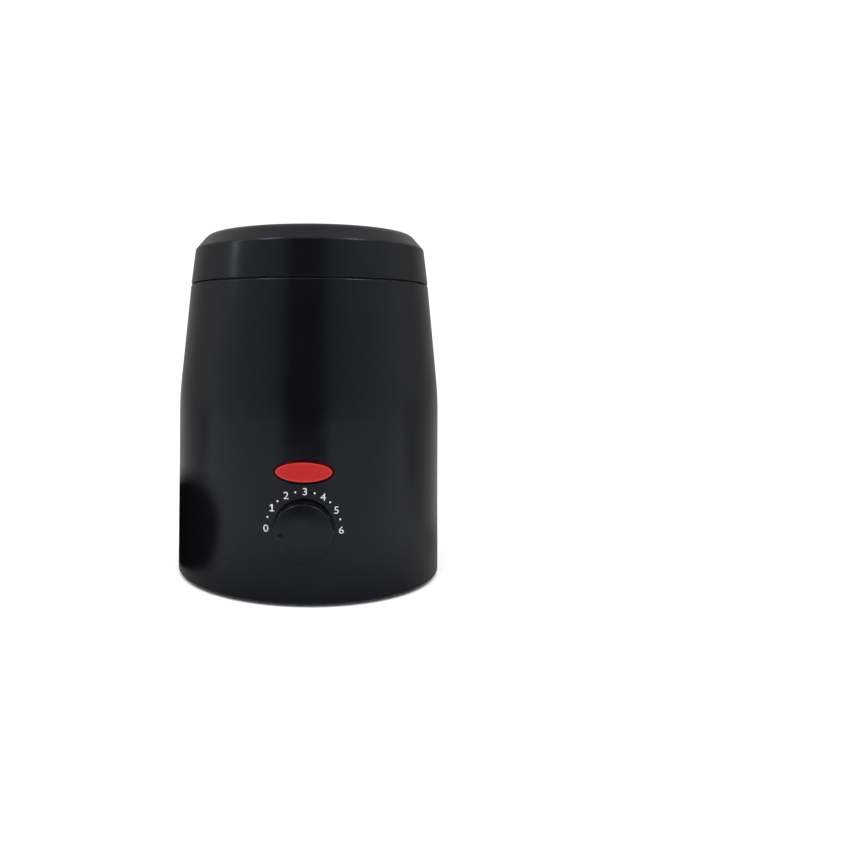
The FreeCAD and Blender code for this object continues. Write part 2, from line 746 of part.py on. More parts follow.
def heater_plate():
    disc = turned([
        (0, heater_z),
        (heater_r, heater_z, HEATER_EDGE),
        (heater_r, chamber_z, HEATER_EDGE),
        (0, chamber_z),
    ])
    for azimuth in HEATER_PIN_AZIMUTHS_DEG:
        top = polar(heater_pin_circle, azimuth, heater_z + HEATER_T / 2)
        disc = disc.fuse(rod(HEATER_PIN_R, top, -UP, HEATER_T / 2 + HEATER_PIN_L))
    well_end = polar(heater_r + BULB_TAIL - BULB_L, BULB_AZIMUTH_DEG, bulb_z)
    return disc.cut(rod(BULB_R + SEAT_GAP, well_end, polar(heater_r, BULB_AZIMUTH_DEG, 0), BULB_L))


def heater_bracket():
    """Three-armed spring plate that presses the heating plate against the chamber."""
    half = BRACKET_ARM_W / 2
    tip = post_circle + half
    points = [
        FreeCAD.Vector(0, -half, bracket_z),
        FreeCAD.Vector(tip, -half, bracket_z),
        FreeCAD.Vector(tip, half, bracket_z),
        FreeCAD.Vector(0, half, bracket_z),
    ]
    arm = plate(points, [0, half, half, 0], BRACKET_T)
    hub = rod(bracket_hub_r, FreeCAD.Vector(0, 0, bracket_z), UP, BRACKET_T)
    spider = hub.fuse([about_axis(arm, azimuth) for azimuth in BRACKET_AZIMUTHS_DEG]).removeSplitter()
    hole_r = SCREW_R + HOLE_GAP
    holes = [rod(hole_r, polar(post_circle, a, bracket_z), UP, BRACKET_T) for a in BRACKET_AZIMUTHS_DEG]
    return spider.cut(holes)


def bracket_screws():
    length = BRACKET_T + SCREW_LENGTH
    places = [polar(post_circle, a, bracket_z - SCREW_HEAD_H) for a in BRACKET_AZIMUTHS_DEG]
    return Part.makeCompound([moved(screw(length), place) for place in places])


# Thermostat, sensor and knob


def thermostat():
    """Switch block with its front plate, threaded neck and three blade terminals."""
    x = THERMOSTAT_W / 2
    low = -THERMOSTAT_H / 2
    high = bay_top - KNOB_Z
    corners = [
        FreeCAD.Vector(-x, low, 0),
        FreeCAD.Vector(x, low, 0),
        FreeCAD.Vector(x, high, 0),
        FreeCAD.Vector(-x, high, 0),
    ]
    case = plate(corners, [THERMOSTAT_EDGE] * len(corners), THERMOSTAT_D)
    case = facing_front(case, thermostat_back, KNOB_Z)
    half_w = plate_w / 2
    half_h = PLATE_H / 2
    corners = [
        FreeCAD.Vector(-half_w, -half_h, 0),
        FreeCAD.Vector(half_w, -half_h, 0),
        FreeCAD.Vector(half_w, half_h, 0),
        FreeCAD.Vector(-half_w, half_h, 0),
    ]
    front = facing_front(plate(corners, [PLATE_ROUND] * len(corners), PLATE_T), thermostat_y, KNOB_Z)
    neck_l = plate_y - knob_pad_y - NECK_GAP
    neck = rod(NECK_R, FreeCAD.Vector(0, plate_y, KNOB_Z), FRONT, neck_l)
    tabs = [block(TAB_T, TAB_L, TAB_W, x_tab, thermostat_back, KNOB_Z - TAB_W / 2) for x_tab in tab_places()]
    unit = case.fuse([front, neck] + tabs)
    cuts = [rod(SHAFT_R + RUNNING_GAP, shaft_start(), FRONT, body_r)]
    for side in (-1, 1):
        hole = FreeCAD.Vector(side * plate_hole_x, plate_y, KNOB_Z)
        cuts.append(rod(SCREW_R + HOLE_GAP, hole, BACK, PLATE_T))
    return unit.cut(cuts)


def tab_places():
    return (-TAB_X, 0, TAB_X)


def shaft_start():
    return FreeCAD.Vector(0, thermostat_y + SHAFT_IN_BODY, KNOB_Z)


def thermostat_screws():
    places = [FreeCAD.Vector(s * plate_hole_x, thermostat_y + SCREW_HEAD_H, KNOB_Z) for s in (-1, 1)]
    return Part.makeCompound([moved(front_screw(), place) for place in places])


def front_screw():
    return facing_front(screw(short_screw()), 0, 0)


def knob_shaft():
    """The thermostat's shaft, flatted where the knob grips it."""
    start_y = shaft_start().y
    tip_y = knob_back_y - SHAFT_IN_KNOB
    shaft = rod(SHAFT_R, shaft_start(), FRONT, start_y - tip_y)
    flat = block(2 * SHAFT_R, SHAFT_IN_KNOB, SHAFT_R, 0, tip_y, KNOB_Z + SHAFT_FLAT)
    return shaft.cut(flat)


def knob():
    face_edge = knob_depth - KNOB_CROWN
    crown_r = KNOB_FACE_R**2 / (2 * KNOB_CROWN)
    pointer_z = knob_depth - pointer_circle**2 / (2 * crown_r)
    body = turned([
        (0, 0),
        (KNOB_R, 0),
        (KNOB_FACE_R, face_edge, KNOB_ROUND),
        (KNOB_FACE_R / 2, knob_depth, crown_r),
        (0, knob_depth),
    ])
    hollow = ring(KNOB_BOSS_R, KNOB_FACE_R - KNOB_SKIRT_T, 0, face_edge - KNOB_FACE_T)
    bore = rod(SHAFT_R + PILOT_GAP, ORIGIN, UP, SHAFT_IN_KNOB + SEAT_GAP)
    keep = SHAFT_FLAT + PILOT_GAP
    flat = block(2 * KNOB_R, KNOB_R, knob_depth, 0, keep, 0)
    ball_z = pointer_z + POINTER_BALL_R - POINTER_DEPTH
    pointer = Part.makeSphere(POINTER_BALL_R, polar(pointer_circle, KNOB_REST_ANGLE_DEG, ball_z))
    body = body.cut([hollow, bore.cut(flat), pointer])
    return facing_front(body, knob_back_y, KNOB_Z)


def sensor_bulb():
    start = polar(heater_r + BULB_TAIL - BULB_L + SEAT_GAP, BULB_AZIMUTH_DEG, bulb_z)
    return rod(BULB_R, start, polar(heater_r, BULB_AZIMUTH_DEG, 0), BULB_L - SEAT_GAP)


def capillary():
    """Tube from the sensor bulb's tail to the top of the thermostat."""
    tail = polar(heater_r + BULB_TAIL, BULB_AZIMUTH_DEG, bulb_z)
    out = polar(heater_r + BULB_TAIL + CAPILLARY_RUN, BULB_AZIMUTH_DEG, bulb_z)
    entry = FreeCAD.Vector(CAPILLARY_X, thermostat_y + CAPILLARY_BACK, bay_top)
    above = FreeCAD.Vector(entry.x, entry.y, bulb_z - CAPILLARY_RUN / 2)
    return tube([tail, out, above, entry], CAPILLARY_R)


# Indicator


def indicator_lens():
    front = facing_front(elliptic_prism(LENS_W, LENS_H, body_r), holder_back_y, lens_z)
    front = front.common(wall_core(LENS_PROUD)).cut(wall_core(-WALL - LENS_FLANGE_T / 2))
    far_y = -(lens_wall_r + LENS_PROUD)
    outline = [e for e in front.Edges if e.CenterOfMass.y < far_y + WALL]
    front = front.makeFillet(LENS_ROUND, outline)
    flange_w = LENS_W + 2 * LENS_FLANGE
    flange_h = LENS_H + 2 * LENS_FLANGE
    flange = facing_front(elliptic_prism(flange_w, flange_h, body_r), holder_back_y, lens_z)
    flange = flange.common(wall_core(-WALL - SEAT_GAP)).cut(wall_core(-WALL - LENS_FLANGE_T))
    return front.fuse(flange)


def lamp_holder():
    """Open-fronted box that presses the lens home and carries the lamp."""
    depth = body_r + holder_back_y
    box = block(holder_w, depth, holder_h, 0, -body_r, lens_z - holder_h / 2)
    front = wall_core(-WALL - LENS_FLANGE_T - FIT_GAP)
    cavity = block(
        holder_w - 2 * HOLDER_WALL,
        depth - HOLDER_WALL,
        holder_h - 2 * HOLDER_WALL,
        0,
        -body_r,
        lens_z - holder_h / 2 + HOLDER_WALL,
    )
    holder = box.common(front)
    for side in (-1, 1):
        hole = FreeCAD.Vector(side * holder_ear_x, holder_ear_y, lens_z)
        ear = rod(HOLDER_EAR_R, hole, BACK, HOLDER_EAR_T)
        strip = block(holder_ear_x, HOLDER_EAR_T, 2 * HOLDER_EAR_R, side * holder_ear_x / 2, holder_ear_y, 0)
        strip.translate(UP * (lens_z - HOLDER_EAR_R))
        holder = holder.fuse([ear, strip]).cut(rod(SCREW_R + HOLE_GAP, hole, BACK, HOLDER_EAR_T))
    lamp_hole = rod(LAMP_R + SEAT_GAP, FreeCAD.Vector(0, holder_back_y, lens_z), FRONT, 2 * HOLDER_WALL)
    return holder.cut([cavity, lamp_hole])


def lamp_screws():
    places = [
        FreeCAD.Vector(side * holder_ear_x, holder_ear_y + HOLDER_EAR_T + SCREW_HEAD_H, lens_z)
        for side in (-1, 1)
    ]
    return Part.makeCompound([moved(front_screw(), place) for place in places])


def neon_lamp():
    """Glass capsule through the back of its holder, with two lead-out pins."""
    pins_z = -LAMP_L - LAMP_PIN_L
    capsule = turned([(0, -LAMP_L), (LAMP_R, -LAMP_L, EDGE_ROUND), (LAMP_R, 0, LAMP_R), (0, 0)])
    for side in (-1, 1):
        pin_place = FreeCAD.Vector(side * LAMP_PIN_PITCH / 2, 0, pins_z)
        capsule = capsule.fuse(rod(LAMP_PIN_R, pin_place, UP, LAMP_PIN_L))
    return facing_front(capsule, lamp_tip_y, lens_z)


# Mains entry, terminal block and fuse


def cord_gland():
    """Moulded bush for the mains cord, with its flange against the rear wall."""
    tail_z = gland_pad_y - gland_face_y - GLAND_TAIL
    nose_z = outer_radius(gland_z) - gland_face_y + GLAND_PROUD
    bush = turned([
        (GLAND_BORE_R, tail_z),
        (GLAND_NECK_R, tail_z, EDGE_ROUND),
        (GLAND_NECK_R, 0),
        (GLAND_FLANGE_R, 0),
        (GLAND_FLANGE_R, GLAND_FLANGE_T, EDGE_ROUND),
        (GLAND_NOSE_R + EDGE_ROUND, GLAND_FLANGE_T),
        (GLAND_NOSE_R, nose_z, EDGE_ROUND),
        (GLAND_BORE_R, nose_z),
    ])
    return facing_back(bush, gland_face_y, gland_z)


def gland_nut():
    """Hexagonal nut that holds the bush from inside."""
    step = FULL_TURN_DEG / GLAND_NUT_SIDES
    corners = [polar(GLAND_NUT_R, side * step, 0) for side in range(GLAND_NUT_SIDES)]
    nut = plate(corners, [0] * len(corners), GLAND_NUT_T)
    nut = nut.cut(rod(GLAND_NECK_R + PILOT_GAP, ORIGIN, UP, GLAND_NUT_T))
    return facing_back(nut, gland_pad_y - GLAND_NUT_T, gland_z)


def terminal_block():
    x = BLOCK_W / 2
    y = BLOCK_D / 2
    corners = [
        FreeCAD.Vector(-x, BLOCK_Y - y, block_z),
        FreeCAD.Vector(x, BLOCK_Y - y, block_z),
        FreeCAD.Vector(x, BLOCK_Y + y, block_z),
        FreeCAD.Vector(-x, BLOCK_Y + y, block_z),
    ]
    body = plate(corners, [BLOCK_EDGE] * len(corners), BLOCK_H)
    top = block_z + BLOCK_H
    cuts = [
        rod(SCREW_R + HOLE_GAP, FreeCAD.Vector(0, BLOCK_Y, block_z), UP, BLOCK_H),
        rod(SCREW_HEAD_R + HOLE_GAP, FreeCAD.Vector(0, BLOCK_Y, top), -UP, BLOCK_SCREW_DROP + SCREW_HEAD_H),
    ]
    for side in (-1, 1):
        pole = FreeCAD.Vector(side * BLOCK_POLE_X, BLOCK_Y - BLOCK_D, pole_z)
        cuts.append(rod(BLOCK_HOLE_R, pole, BACK, 2 * BLOCK_D))
        cuts.append(rod(SCREW_HEAD_R, FreeCAD.Vector(side * BLOCK_POLE_X, BLOCK_Y, top), -UP, BLOCK_H / 2))
    return body.cut(cuts)


def block_screw():
    """The screw that holds the terminal block to the base cover."""
    length = BLOCK_H - BLOCK_SCREW_DROP - SCREW_HEAD_H + BLOCK_PAD_H - CUT_OVERRUN
    fixing = screw(length)
    fixing.rotate(ORIGIN, RIGHT, HALF_TURN_DEG)
    fixing.translate(FreeCAD.Vector(0, BLOCK_Y, block_z + BLOCK_H - BLOCK_SCREW_DROP))
    return fixing


def thermal_fuse():
    """Axial fuse lying under the rear arm of the bracket, along Y."""
    start = FreeCAD.Vector(0, fuse_y - FUSE_L / 2, fuse_z)
    can = rod(FUSE_R, start, BACK, FUSE_L)
    for end, direction in ((start, FRONT), (start + BACK * FUSE_L, BACK)):
        can = can.fuse(rod(FUSE_PIN_R, end, direction, FUSE_PIN_L))
    return can


def fuse_clip():
    """Saddle that holds the fuse up against the bracket's arm."""
    inside = FUSE_R + SEAT_GAP
    outside = inside + CLIP_T
    y = fuse_y - CLIP_W / 2
    axis = FreeCAD.Vector(0, y, fuse_z)
    saddle = rod(outside, axis, BACK, CLIP_W)
    saddle = saddle.fuse(block(2 * outside, CLIP_W, bracket_z - axis.z, 0, y, axis.z))
    feet = block(2 * (outside + CLIP_FOOT), CLIP_W, CLIP_T, 0, y, bracket_z - CLIP_T)
    hollow = rod(inside, axis, BACK, CLIP_W)
    hollow = hollow.fuse(block(2 * inside, CLIP_W, bracket_z - axis.z, 0, y, axis.z))
    trim = block(2 * body_r, CLIP_W, body_r, 0, y, bracket_z)
    return saddle.fuse(feet).cut([hollow, trim]).removeSplitter()


# Leads


def lead(points):
    return tube(points, LEAD_R)


def heater_pin_end(index):
    return polar(heater_pin_circle, HEATER_PIN_AZIMUTHS_DEG[index], heater_z - HEATER_PIN_L)


def pole_end(x):
    return FreeCAD.Vector(x, BLOCK_Y - BLOCK_D / 2, pole_z)


def tab_end(x):
    return FreeCAD.Vector(x, thermostat_back + TAB_L, KNOB_Z)


def live_lead():
    """Terminal block to the thermostat's left-hand blade."""
    start = pole_end(-BLOCK_POLE_X)
    end = tab_end(-TAB_X)
    return lead([
        start,
        start + FRONT * LEAD_END,
        end + BACK * LEAD_END + UP * -LEAD_SAG,
        end + BACK * LEAD_END / 2,
        end,
    ])


def neutral_lead():
    """Terminal block to the heating plate's right-hand pin."""
    start = pole_end(BLOCK_POLE_X + POLE_SPREAD)
    end = heater_pin_end(0)
    return lead([
        start,
        start + FRONT * LEAD_END,
        FreeCAD.Vector(end.x, start.y - LEAD_END, (start.z + end.z) / 2),
        end - UP * LEAD_END,
        end,
    ])


def load_lead():
    """Thermostat's right-hand blade to the thermal fuse."""
    start = tab_end(TAB_X)
    end = FreeCAD.Vector(0, fuse_y - FUSE_L / 2 - FUSE_PIN_L, fuse_z)
    return lead([
        start,
        start + BACK * LEAD_END,
        (start + end) / 2 + UP * LEAD_END,
        end + FRONT * LEAD_END,
        end,
    ])


def fuse_lead():
    """Thermal fuse to the heating plate's left-hand pin."""
    start = FreeCAD.Vector(0, fuse_y + FUSE_L / 2 + FUSE_PIN_L, fuse_z)
    end = heater_pin_end(1)
    return lead([
        start,
        start + BACK * LEAD_END,
        FreeCAD.Vector(end.x, start.y, end.z - LEAD_SAG),
        end - UP * LEAD_SAG,
        end,
    ])


def lamp_lead(side, rest):
    """From a lamp pin over the top of the thermostat and down behind it, through the rest."""
    start = FreeCAD.Vector(side * LAMP_PIN_PITCH / 2, lamp_tip_y + LAMP_L + LAMP_PIN_L, lens_z)
    out = start + BACK * LAMP_LEAD_END
    top_z = bay_top + BAY_GAP / 2
    x = side * LAMP_LEAD_X
    over = FreeCAD.Vector(x, out.y + LAMP_LEAD_END, top_z)
    behind = FreeCAD.Vector(x, thermostat_back + LAMP_LEAD_END, top_z)
    return tube([start, out, over, behind] + rest, LAMP_LEAD_R)


def lamp_switched_lead():
    """Lamp to the thermostat's middle blade."""
    end = tab_end(0)
    return lamp_lead(1, [end + BACK * LEAD_END + UP * LEAD_SAG, end + BACK * LEAD_END, end])


def lamp_neutral_lead():
    """Lamp to the terminal block, beside the neutral lead."""
    end = pole_end(BLOCK_POLE_X - POLE_SPREAD)
    low = FreeCAD.Vector(-LAMP_LEAD_X, thermostat_back + TAB_L, KNOB_Z)
    return lamp_lead(-1, [low, end + FRONT * 2 * LEAD_END, end])


NODES = {
    "housing": housing,
    "base_cover": base_cover,
    "base_screws": base_screws,
    "lid": lid,
    "wax_pot": wax_pot,
    "bail": bail,
    "heating_chamber": heating_chamber,
    "gasket_ring": gasket_ring,
    "insulation_sleeve": insulation_sleeve,
    "heater_plate": heater_plate,
    "heater_bracket": heater_bracket,
    "bracket_screws": bracket_screws,
    "thermostat": thermostat,
    "thermostat_screws": thermostat_screws,
    "knob_shaft": knob_shaft,
    "knob": knob,
    "sensor_bulb": sensor_bulb,
    "capillary": capillary,
    "indicator_lens": indicator_lens,
    "lamp_holder": lamp_holder,
    "lamp_screws": lamp_screws,
    "neon_lamp": neon_lamp,
    "cord_gland": cord_gland,
    "gland_nut": gland_nut,
    "terminal_block": terminal_block,
    "block_screw": block_screw,
    "thermal_fuse": thermal_fuse,
    "fuse_clip": fuse_clip,
    "live_lead": live_lead,
    "neutral_lead": neutral_lead,
    "load_lead": load_lead,
    "fuse_lead": fuse_lead,
    "lamp_switched_lead": lamp_switched_lead,
    "lamp_neutral_lead": lamp_neutral_lead,
}


def main():
    os.makedirs("parts", exist_ok=True)
    for name, make in NODES.items():
        save(name, make())
    for corner, azimuth in FOOT_AZIMUTHS_DEG.items():
        save("foot_" + corner, foot(azimuth))


def save(name, shape):
    solids = shape.Solids
    if not solids or not all(solid.isValid() for solid in solids):
        raise ValueError(name + " is not made of valid solids")
    print(name, len(solids), round(shape.Volume, 1))
    shape.exportStep("parts/" + name + ".step")


main()
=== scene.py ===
"""The looks of a small black wax heater: its finishes, its dial print, a pale studio and the camera."""

import json
import math

import bmesh
import bpy
from mathutils import Matrix, Vector


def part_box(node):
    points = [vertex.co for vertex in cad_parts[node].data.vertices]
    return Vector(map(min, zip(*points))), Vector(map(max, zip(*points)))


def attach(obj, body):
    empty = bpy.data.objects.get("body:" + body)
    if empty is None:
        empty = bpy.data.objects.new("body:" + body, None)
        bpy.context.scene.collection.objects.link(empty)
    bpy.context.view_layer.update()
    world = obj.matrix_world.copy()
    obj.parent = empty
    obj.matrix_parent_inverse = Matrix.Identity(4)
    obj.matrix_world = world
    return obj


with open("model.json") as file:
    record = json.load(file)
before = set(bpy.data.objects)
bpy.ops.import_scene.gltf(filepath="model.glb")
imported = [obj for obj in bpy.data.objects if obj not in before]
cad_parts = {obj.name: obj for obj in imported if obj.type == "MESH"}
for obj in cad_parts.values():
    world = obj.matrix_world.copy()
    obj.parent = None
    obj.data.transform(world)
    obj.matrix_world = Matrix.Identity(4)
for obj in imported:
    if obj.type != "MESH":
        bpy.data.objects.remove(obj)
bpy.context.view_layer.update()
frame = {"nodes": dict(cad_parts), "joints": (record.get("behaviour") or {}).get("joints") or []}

MM = 0.001
QUARTER_TURN = math.radians(90)

# Dial print
NUMERAL_H = 2.8 * MM
NUMERAL_WIDE_SHARE = 1.12
DIAL_R = 14.7 * MM
DIAL_RISE = 0.6 * MM
DIAL_ANGLES_DEG = (180.5, 163, 147, 133.5, 117.5, 102.5, 88, 73, 59, 45.5, 30, 14.5, -2)
DOT_R = 0.42 * MM
DOT_SIDES = 24
DOT_TOP_SHARE = 0.85
FONT_STEPS = 6
INK_LIFT = 0.04 * MM
INK_SINK = 0.06 * MM
RAY_START = 200 * MM

ONE_OUTLINE_SHARES = (
    (-0.34, -0.50), (0.36, -0.50), (0.36, -0.36), (0.135, -0.36), (0.135, 0.50), (-0.035, 0.50),
    (-0.30, 0.31), (-0.22, 0.18), (-0.055, 0.29), (-0.055, -0.36), (-0.34, -0.36),
)

# Lens face, as it shows, and how far in from its edge the painted shade ring and the painted highlight line
# reach
LENS_W = 23.6 * MM
LENS_H = 9.2 * MM
LENS_SHADE_RING_FULL = 0.7 * MM
LENS_SHADE_RING_END = 0.9 * MM
LENS_HIGHLIGHT_LINE_END = 1.7 * MM
LENS_HIGHLIGHT_LINE_STRENGTH = 0.4

# Camera, as the photograph was taken
EYE_BACK = 362.5 * MM
EYE_UP = 103.7 * MM
EYE_ROUND = math.radians(1.85)
EYE_PITCH = math.radians(4.0)
EYE_ROLL = math.radians(0.3)
FOCAL_LENGTH_MM = 34.0
SHIFT_RIGHT = 0.1344
SHIFT_DOWN = 0.0307

# Floor: how far back the painted shade on its mirrored tone starts and is full,
# and the distances from the middle between which its painted foot shadow fades
FLOOR_R = 3000 * MM
FLOOR_SIDES = 96
FLOOR_SPECKLE = 2 * MM
FLOOR_SHADE_START = -60 * MM
FLOOR_SHADE_FULL = 30 * MM
FOOT_SHADE_IN = 60 * MM
FOOT_SHADE_OUT = 160 * MM
FOOT_SHADE_STRENGTH = 0.6

# Lamps: all shine at one height on the heater's axis, and the soft ones stand equally far from it
LAMP_AIM = 120 * MM
LAMP_FAR = 800 * MM
FRONT_LAMP_STRENGTH = 1.5
FRONT_LAMP_SPREAD = math.radians(45)
FRONT_LAMP_UP = math.radians(55)

# Soft lamps: how far round from the front and how far up in degrees,
# width and length in millimetres, power in watts
SOFT_LAMPS = {
    "left_strip": (-74, 30, 50, 420, 0.55),
    "left_box": (-47, 50, 150, 300, 2.2),
    "right_box": (56, 50, 150, 300, 2.2),
}

# Dark cards that show only mirrored: a tall one before the heater, and an oval one close to its left side
# that is a painted shadow, standing for the heater's own shadow on the table
CARD_WEAVE = 3 * MM
CARD_WEAVE_SHARE = 0.12
CARD_BLUE_SHARE = 1.17
FRONT_CARD_SHADE = 0.048
FRONT_CARD_LEFT = -140 * MM
FRONT_CARD_RIGHT = 118 * MM
FRONT_CARD_AWAY = 420 * MM
FRONT_CARD_H = 400 * MM
LEFT_SHADOW_CARD_SHADE = 0.003
LEFT_CARD_PLACE = (-68 * MM, -17 * MM, 19.5 * MM)
LEFT_CARD_TURN = math.radians(75)
LEFT_CARD_W = 98 * MM
LEFT_CARD_H = 56 * MM
LEFT_CARD_FULL_SHARE = 0.7
LEFT_CARD_SIDES = 64

# The room's light by the angle away from the front, in degrees: bright at the sides, dim behind
SURROUND = (
    (0, (0.50, 0.52, 0.56, 1.0)),
    (28, (0.68, 0.71, 0.76, 1.0)),
    (47, (0.95, 0.98, 1.02, 1.0)),
    (70, (1.10, 1.12, 1.15, 1.0)),
    (90, (1.10, 1.10, 1.10, 1.0)),
    (101, (0.80, 0.80, 0.78, 1.0)),
    (118, (0.42, 0.42, 0.40, 1.0)),
    (137, (0.38, 0.38, 0.35, 1.0)),
    (180, (0.35, 0.35, 0.32, 1.0)),
)

# High up behind, the room is brighter again: the upward and backward shares of a direction
# at which that starts and is full
HIGH_BACK_GAIN = 0.8
HIGH_START_SHARE = 0.25
HIGH_FULL_SHARE = 0.6
BACK_FULL_SHARE = 0.5

# The plain white that the camera sees round the heater
SEEN_WHITE = (1.0, 1.0, 1.0, 1.0)
SEEN_STRENGTH = 1.1

# Most of a noise lies between these
NOISE_LOW = 0.3
NOISE_HIGH = 0.7


# Node helpers

def socket(sockets, label):
    """The socket with that identifier or name."""
    return next(s for s in sockets if label in (s.identifier, s.name))


def node(tree, kind, plugs=None, **options):
    """A node with its options set, and each plug linked to a socket or given a plain value."""
    made = tree.nodes.new(kind)
    for option, value in options.items():
        setattr(made, option, value)
    for label, value in (plugs or {}).items():
        end = socket(made.inputs, label)
        if isinstance(value, bpy.types.NodeSocket):
            tree.links.new(value, end)
        else:
            end.default_value = value
    return made


def arithmetic(tree, operation, first, second):
    """One Math node's result."""
    plugs = {"Value": first, "Value_001": second}
    return node(tree, "ShaderNodeMath", plugs, operation=operation).outputs[0]


def ranged(tree, value, low, high, start, end):
    """The value carried from low and high to start and end, and held at both."""
    plugs = {"Value": value, "From Min": low, "From Max": high, "To Min": start, "To Max": end}
    return node(tree, "ShaderNodeMapRange", plugs).outputs[0]


def rising(tree, value, low, high):
    """A mask that goes from 0 at low to 1 at high."""
    return ranged(tree, value, low, high, 0.0, 1.0)


def falling(tree, value, low, high):
    """A mask that goes from 1 at low to 0 at high."""
    return ranged(tree, value, low, high, 1.0, 0.0)


def between(tree, mask, first, second):
    """A value that goes from first to second with the mask."""
    return ranged(tree, mask, 0.0, 1.0, first, second)


def over_noise(tree, noise, first, second):
    """A value that goes from first to second over the middle of a noise."""
    return ranged(tree, noise, NOISE_LOW, NOISE_HIGH, first, second)


def turning(tree, mask, first, second):
    """A colour that goes from first to second with the mask."""
    plugs = {"Factor_Float": mask, "A_Color": first, "B_Color": second}
    return socket(node(tree, "ShaderNodeMix", plugs, data_type="RGBA").outputs, "Result_Color")


def length(tree, way):
    """How long a vector is."""
    return socket(node(tree, "ShaderNodeVectorMath", {"Vector": way}, operation="LENGTH").outputs, "Value")


def on_piece(tree):
    """Places on the piece itself, in metres."""
    return node(tree, "ShaderNodeTexCoord").outputs["Object"]


def lumps(tree, where, size, detail=2.0, distortion=0.0):
    """Noise whose lumps are about size across."""
    scale = arithmetic(tree, "DIVIDE", 1.0, size)
    plugs = {"Vector": where, "Scale": scale, "Detail": detail, "Distortion": distortion}
    return node(tree, "ShaderNodeTexNoise", plugs).outputs["Fac"]


# Mesh and object helpers

def mesh_of(name, made):
    """A new mesh of what was made in a bmesh, which is freed."""
    shape = bpy.data.meshes.new(name)
    made.to_mesh(shape)
    made.free()
    return shape


def in_scene(name, data):
    """A new object with that mesh, light or camera, linked to the scene."""
    made = bpy.data.objects.new(name, data)
    bpy.context.scene.collection.objects.link(made)
    return made


# Effects that several finishes share

def effect(name, inputs, outputs):
    """An empty node group, the sockets that it is given, and a function that wires what it puts out."""
    tree = bpy.data.node_groups.new(name, "ShaderNodeTree")
    for label, value in inputs.items():
        way_in = tree.interface.new_socket(label, in_out="INPUT", socket_type="NodeSocketFloat")
        way_in.default_value = value
    for label in outputs:
        tree.interface.new_socket(label, in_out="OUTPUT", socket_type="NodeSocketFloat")
    given = node(tree, "NodeGroupInput").outputs
    ends = node(tree, "NodeGroupOutput").inputs

    def put(label, value):
        tree.links.new(value, ends[label])

    return tree, given, put


def make_mould_texture():
    """The fine eroded grain of a moulding tool, and the slow clouding of the plastic's colour."""
    tree, given, put = effect(
        "mould_texture", {"Grain Size": 0.4 * MM, "Cloud Size": 30 * MM}, ("Height", "Tone"))
    where = on_piece(tree)
    put("Height", lumps(tree, where, given["Grain Size"], detail=3.0))
    put("Tone", lumps(tree, where, given["Cloud Size"], detail=4.0))
    return tree


def make_handling():
    """Where fingers leave a greasy film, and the hairlines that wiping leaves."""
    tree, given, put = effect(
        "handling", {"Smudge Size": 18 * MM, "Hairline Spacing": 9 * MM}, ("Smudge", "Hairline"))
    where = on_piece(tree)
    film = lumps(tree, where, given["Smudge Size"], detail=5.0, distortion=0.8)
    put("Smudge", rising(tree, film, low=0.45, high=0.68))
    spread = arithmetic(tree, "DIVIDE", 1.0, given["Hairline Spacing"])
    plugs = {"Vector": where, "Scale": spread}
    cells = node(tree, "ShaderNodeTexVoronoi", plugs, feature="DISTANCE_TO_EDGE")
    line = falling(tree, cells.outputs["Distance"], low=0.004, high=0.012)
    broken = rising(tree, lumps(tree, where, given["Hairline Spacing"]), low=0.5, high=0.6)
    put("Hairline", arithmetic(tree, "MULTIPLY", line, broken))
    return tree


def make_edge_rub():
    """Wear along edges, broken up so that no edge is worn evenly."""
    tree, given, put = effect("edge_rub", {"Reach": 0.5 * MM, "Patch Size": 5 * MM}, ("Mask",))
    rounded = node(tree, "ShaderNodeBevel", {"Radius": given["Reach"]}, samples=4).outputs["Normal"]
    plain = node(tree, "ShaderNodeNewGeometry").outputs["Normal"]
    plugs = {"Vector": rounded, "Vector_001": plain}
    facing = socket(node(tree, "ShaderNodeVectorMath", plugs, operation="DOT_PRODUCT").outputs, "Value")
    edge = rising(tree, facing, low=0.995, high=0.90)
    blotch = lumps(tree, on_piece(tree), given["Patch Size"], detail=4.0)
    patch = ranged(tree, blotch, low=0.35, high=0.65, start=0.25, end=1.0)
    put("Mask", arithmetic(tree, "MULTIPLY", edge, patch))
    return tree


def make_settled_dust():
    """A thin film of dust on what faces up, and a few lone specks anywhere."""
    tree, given, put = effect("settled_dust", {"Film": 0.3, "Speck Spacing": 14 * MM}, ("Mask",))
    where = on_piece(tree)
    normal = node(tree, "ShaderNodeNewGeometry").outputs["Normal"]
    upward = node(tree, "ShaderNodeSeparateXYZ", {"Vector": normal}).outputs["Z"]
    cloud = rising(tree, lumps(tree, where, given["Speck Spacing"], detail=7.0), low=0.4, high=0.7)
    settled = arithmetic(tree, "MULTIPLY", rising(tree, upward, low=0.3, high=0.95), cloud)
    film = arithmetic(tree, "MULTIPLY", settled, given["Film"])
    spread = arithmetic(tree, "DIVIDE", 1.0, given["Speck Spacing"])
    cells = node(tree, "ShaderNodeTexVoronoi", {"Vector": where, "Scale": spread})
    speck = falling(tree, cells.outputs["Distance"], low=0.006, high=0.012)
    put("Mask", arithmetic(tree, "MAXIMUM", film, speck))
    return tree


def make_lathe_rings():
    """Fine rings round the heater's upright axis, as a spinning lathe leaves them."""
    tree, given, put = effect("lathe_rings", {"Pitch": 0.35 * MM, "Band": 4 * MM}, ("Height", "Tone"))
    where = on_piece(tree)
    parts = node(tree, "ShaderNodeSeparateXYZ", {"Vector": where}).outputs
    flat = node(tree, "ShaderNodeCombineXYZ", {"X": parts["X"], "Y": parts["Y"]}).outputs[0]
    profile = node(tree, "ShaderNodeCombineXYZ", {"X": length(tree, flat), "Y": parts["Z"]}).outputs[0]
    put("Height", lumps(tree, profile, given["Pitch"], detail=2.0))
    put("Tone", lumps(tree, profile, given["Band"], detail=5.0))
    return tree


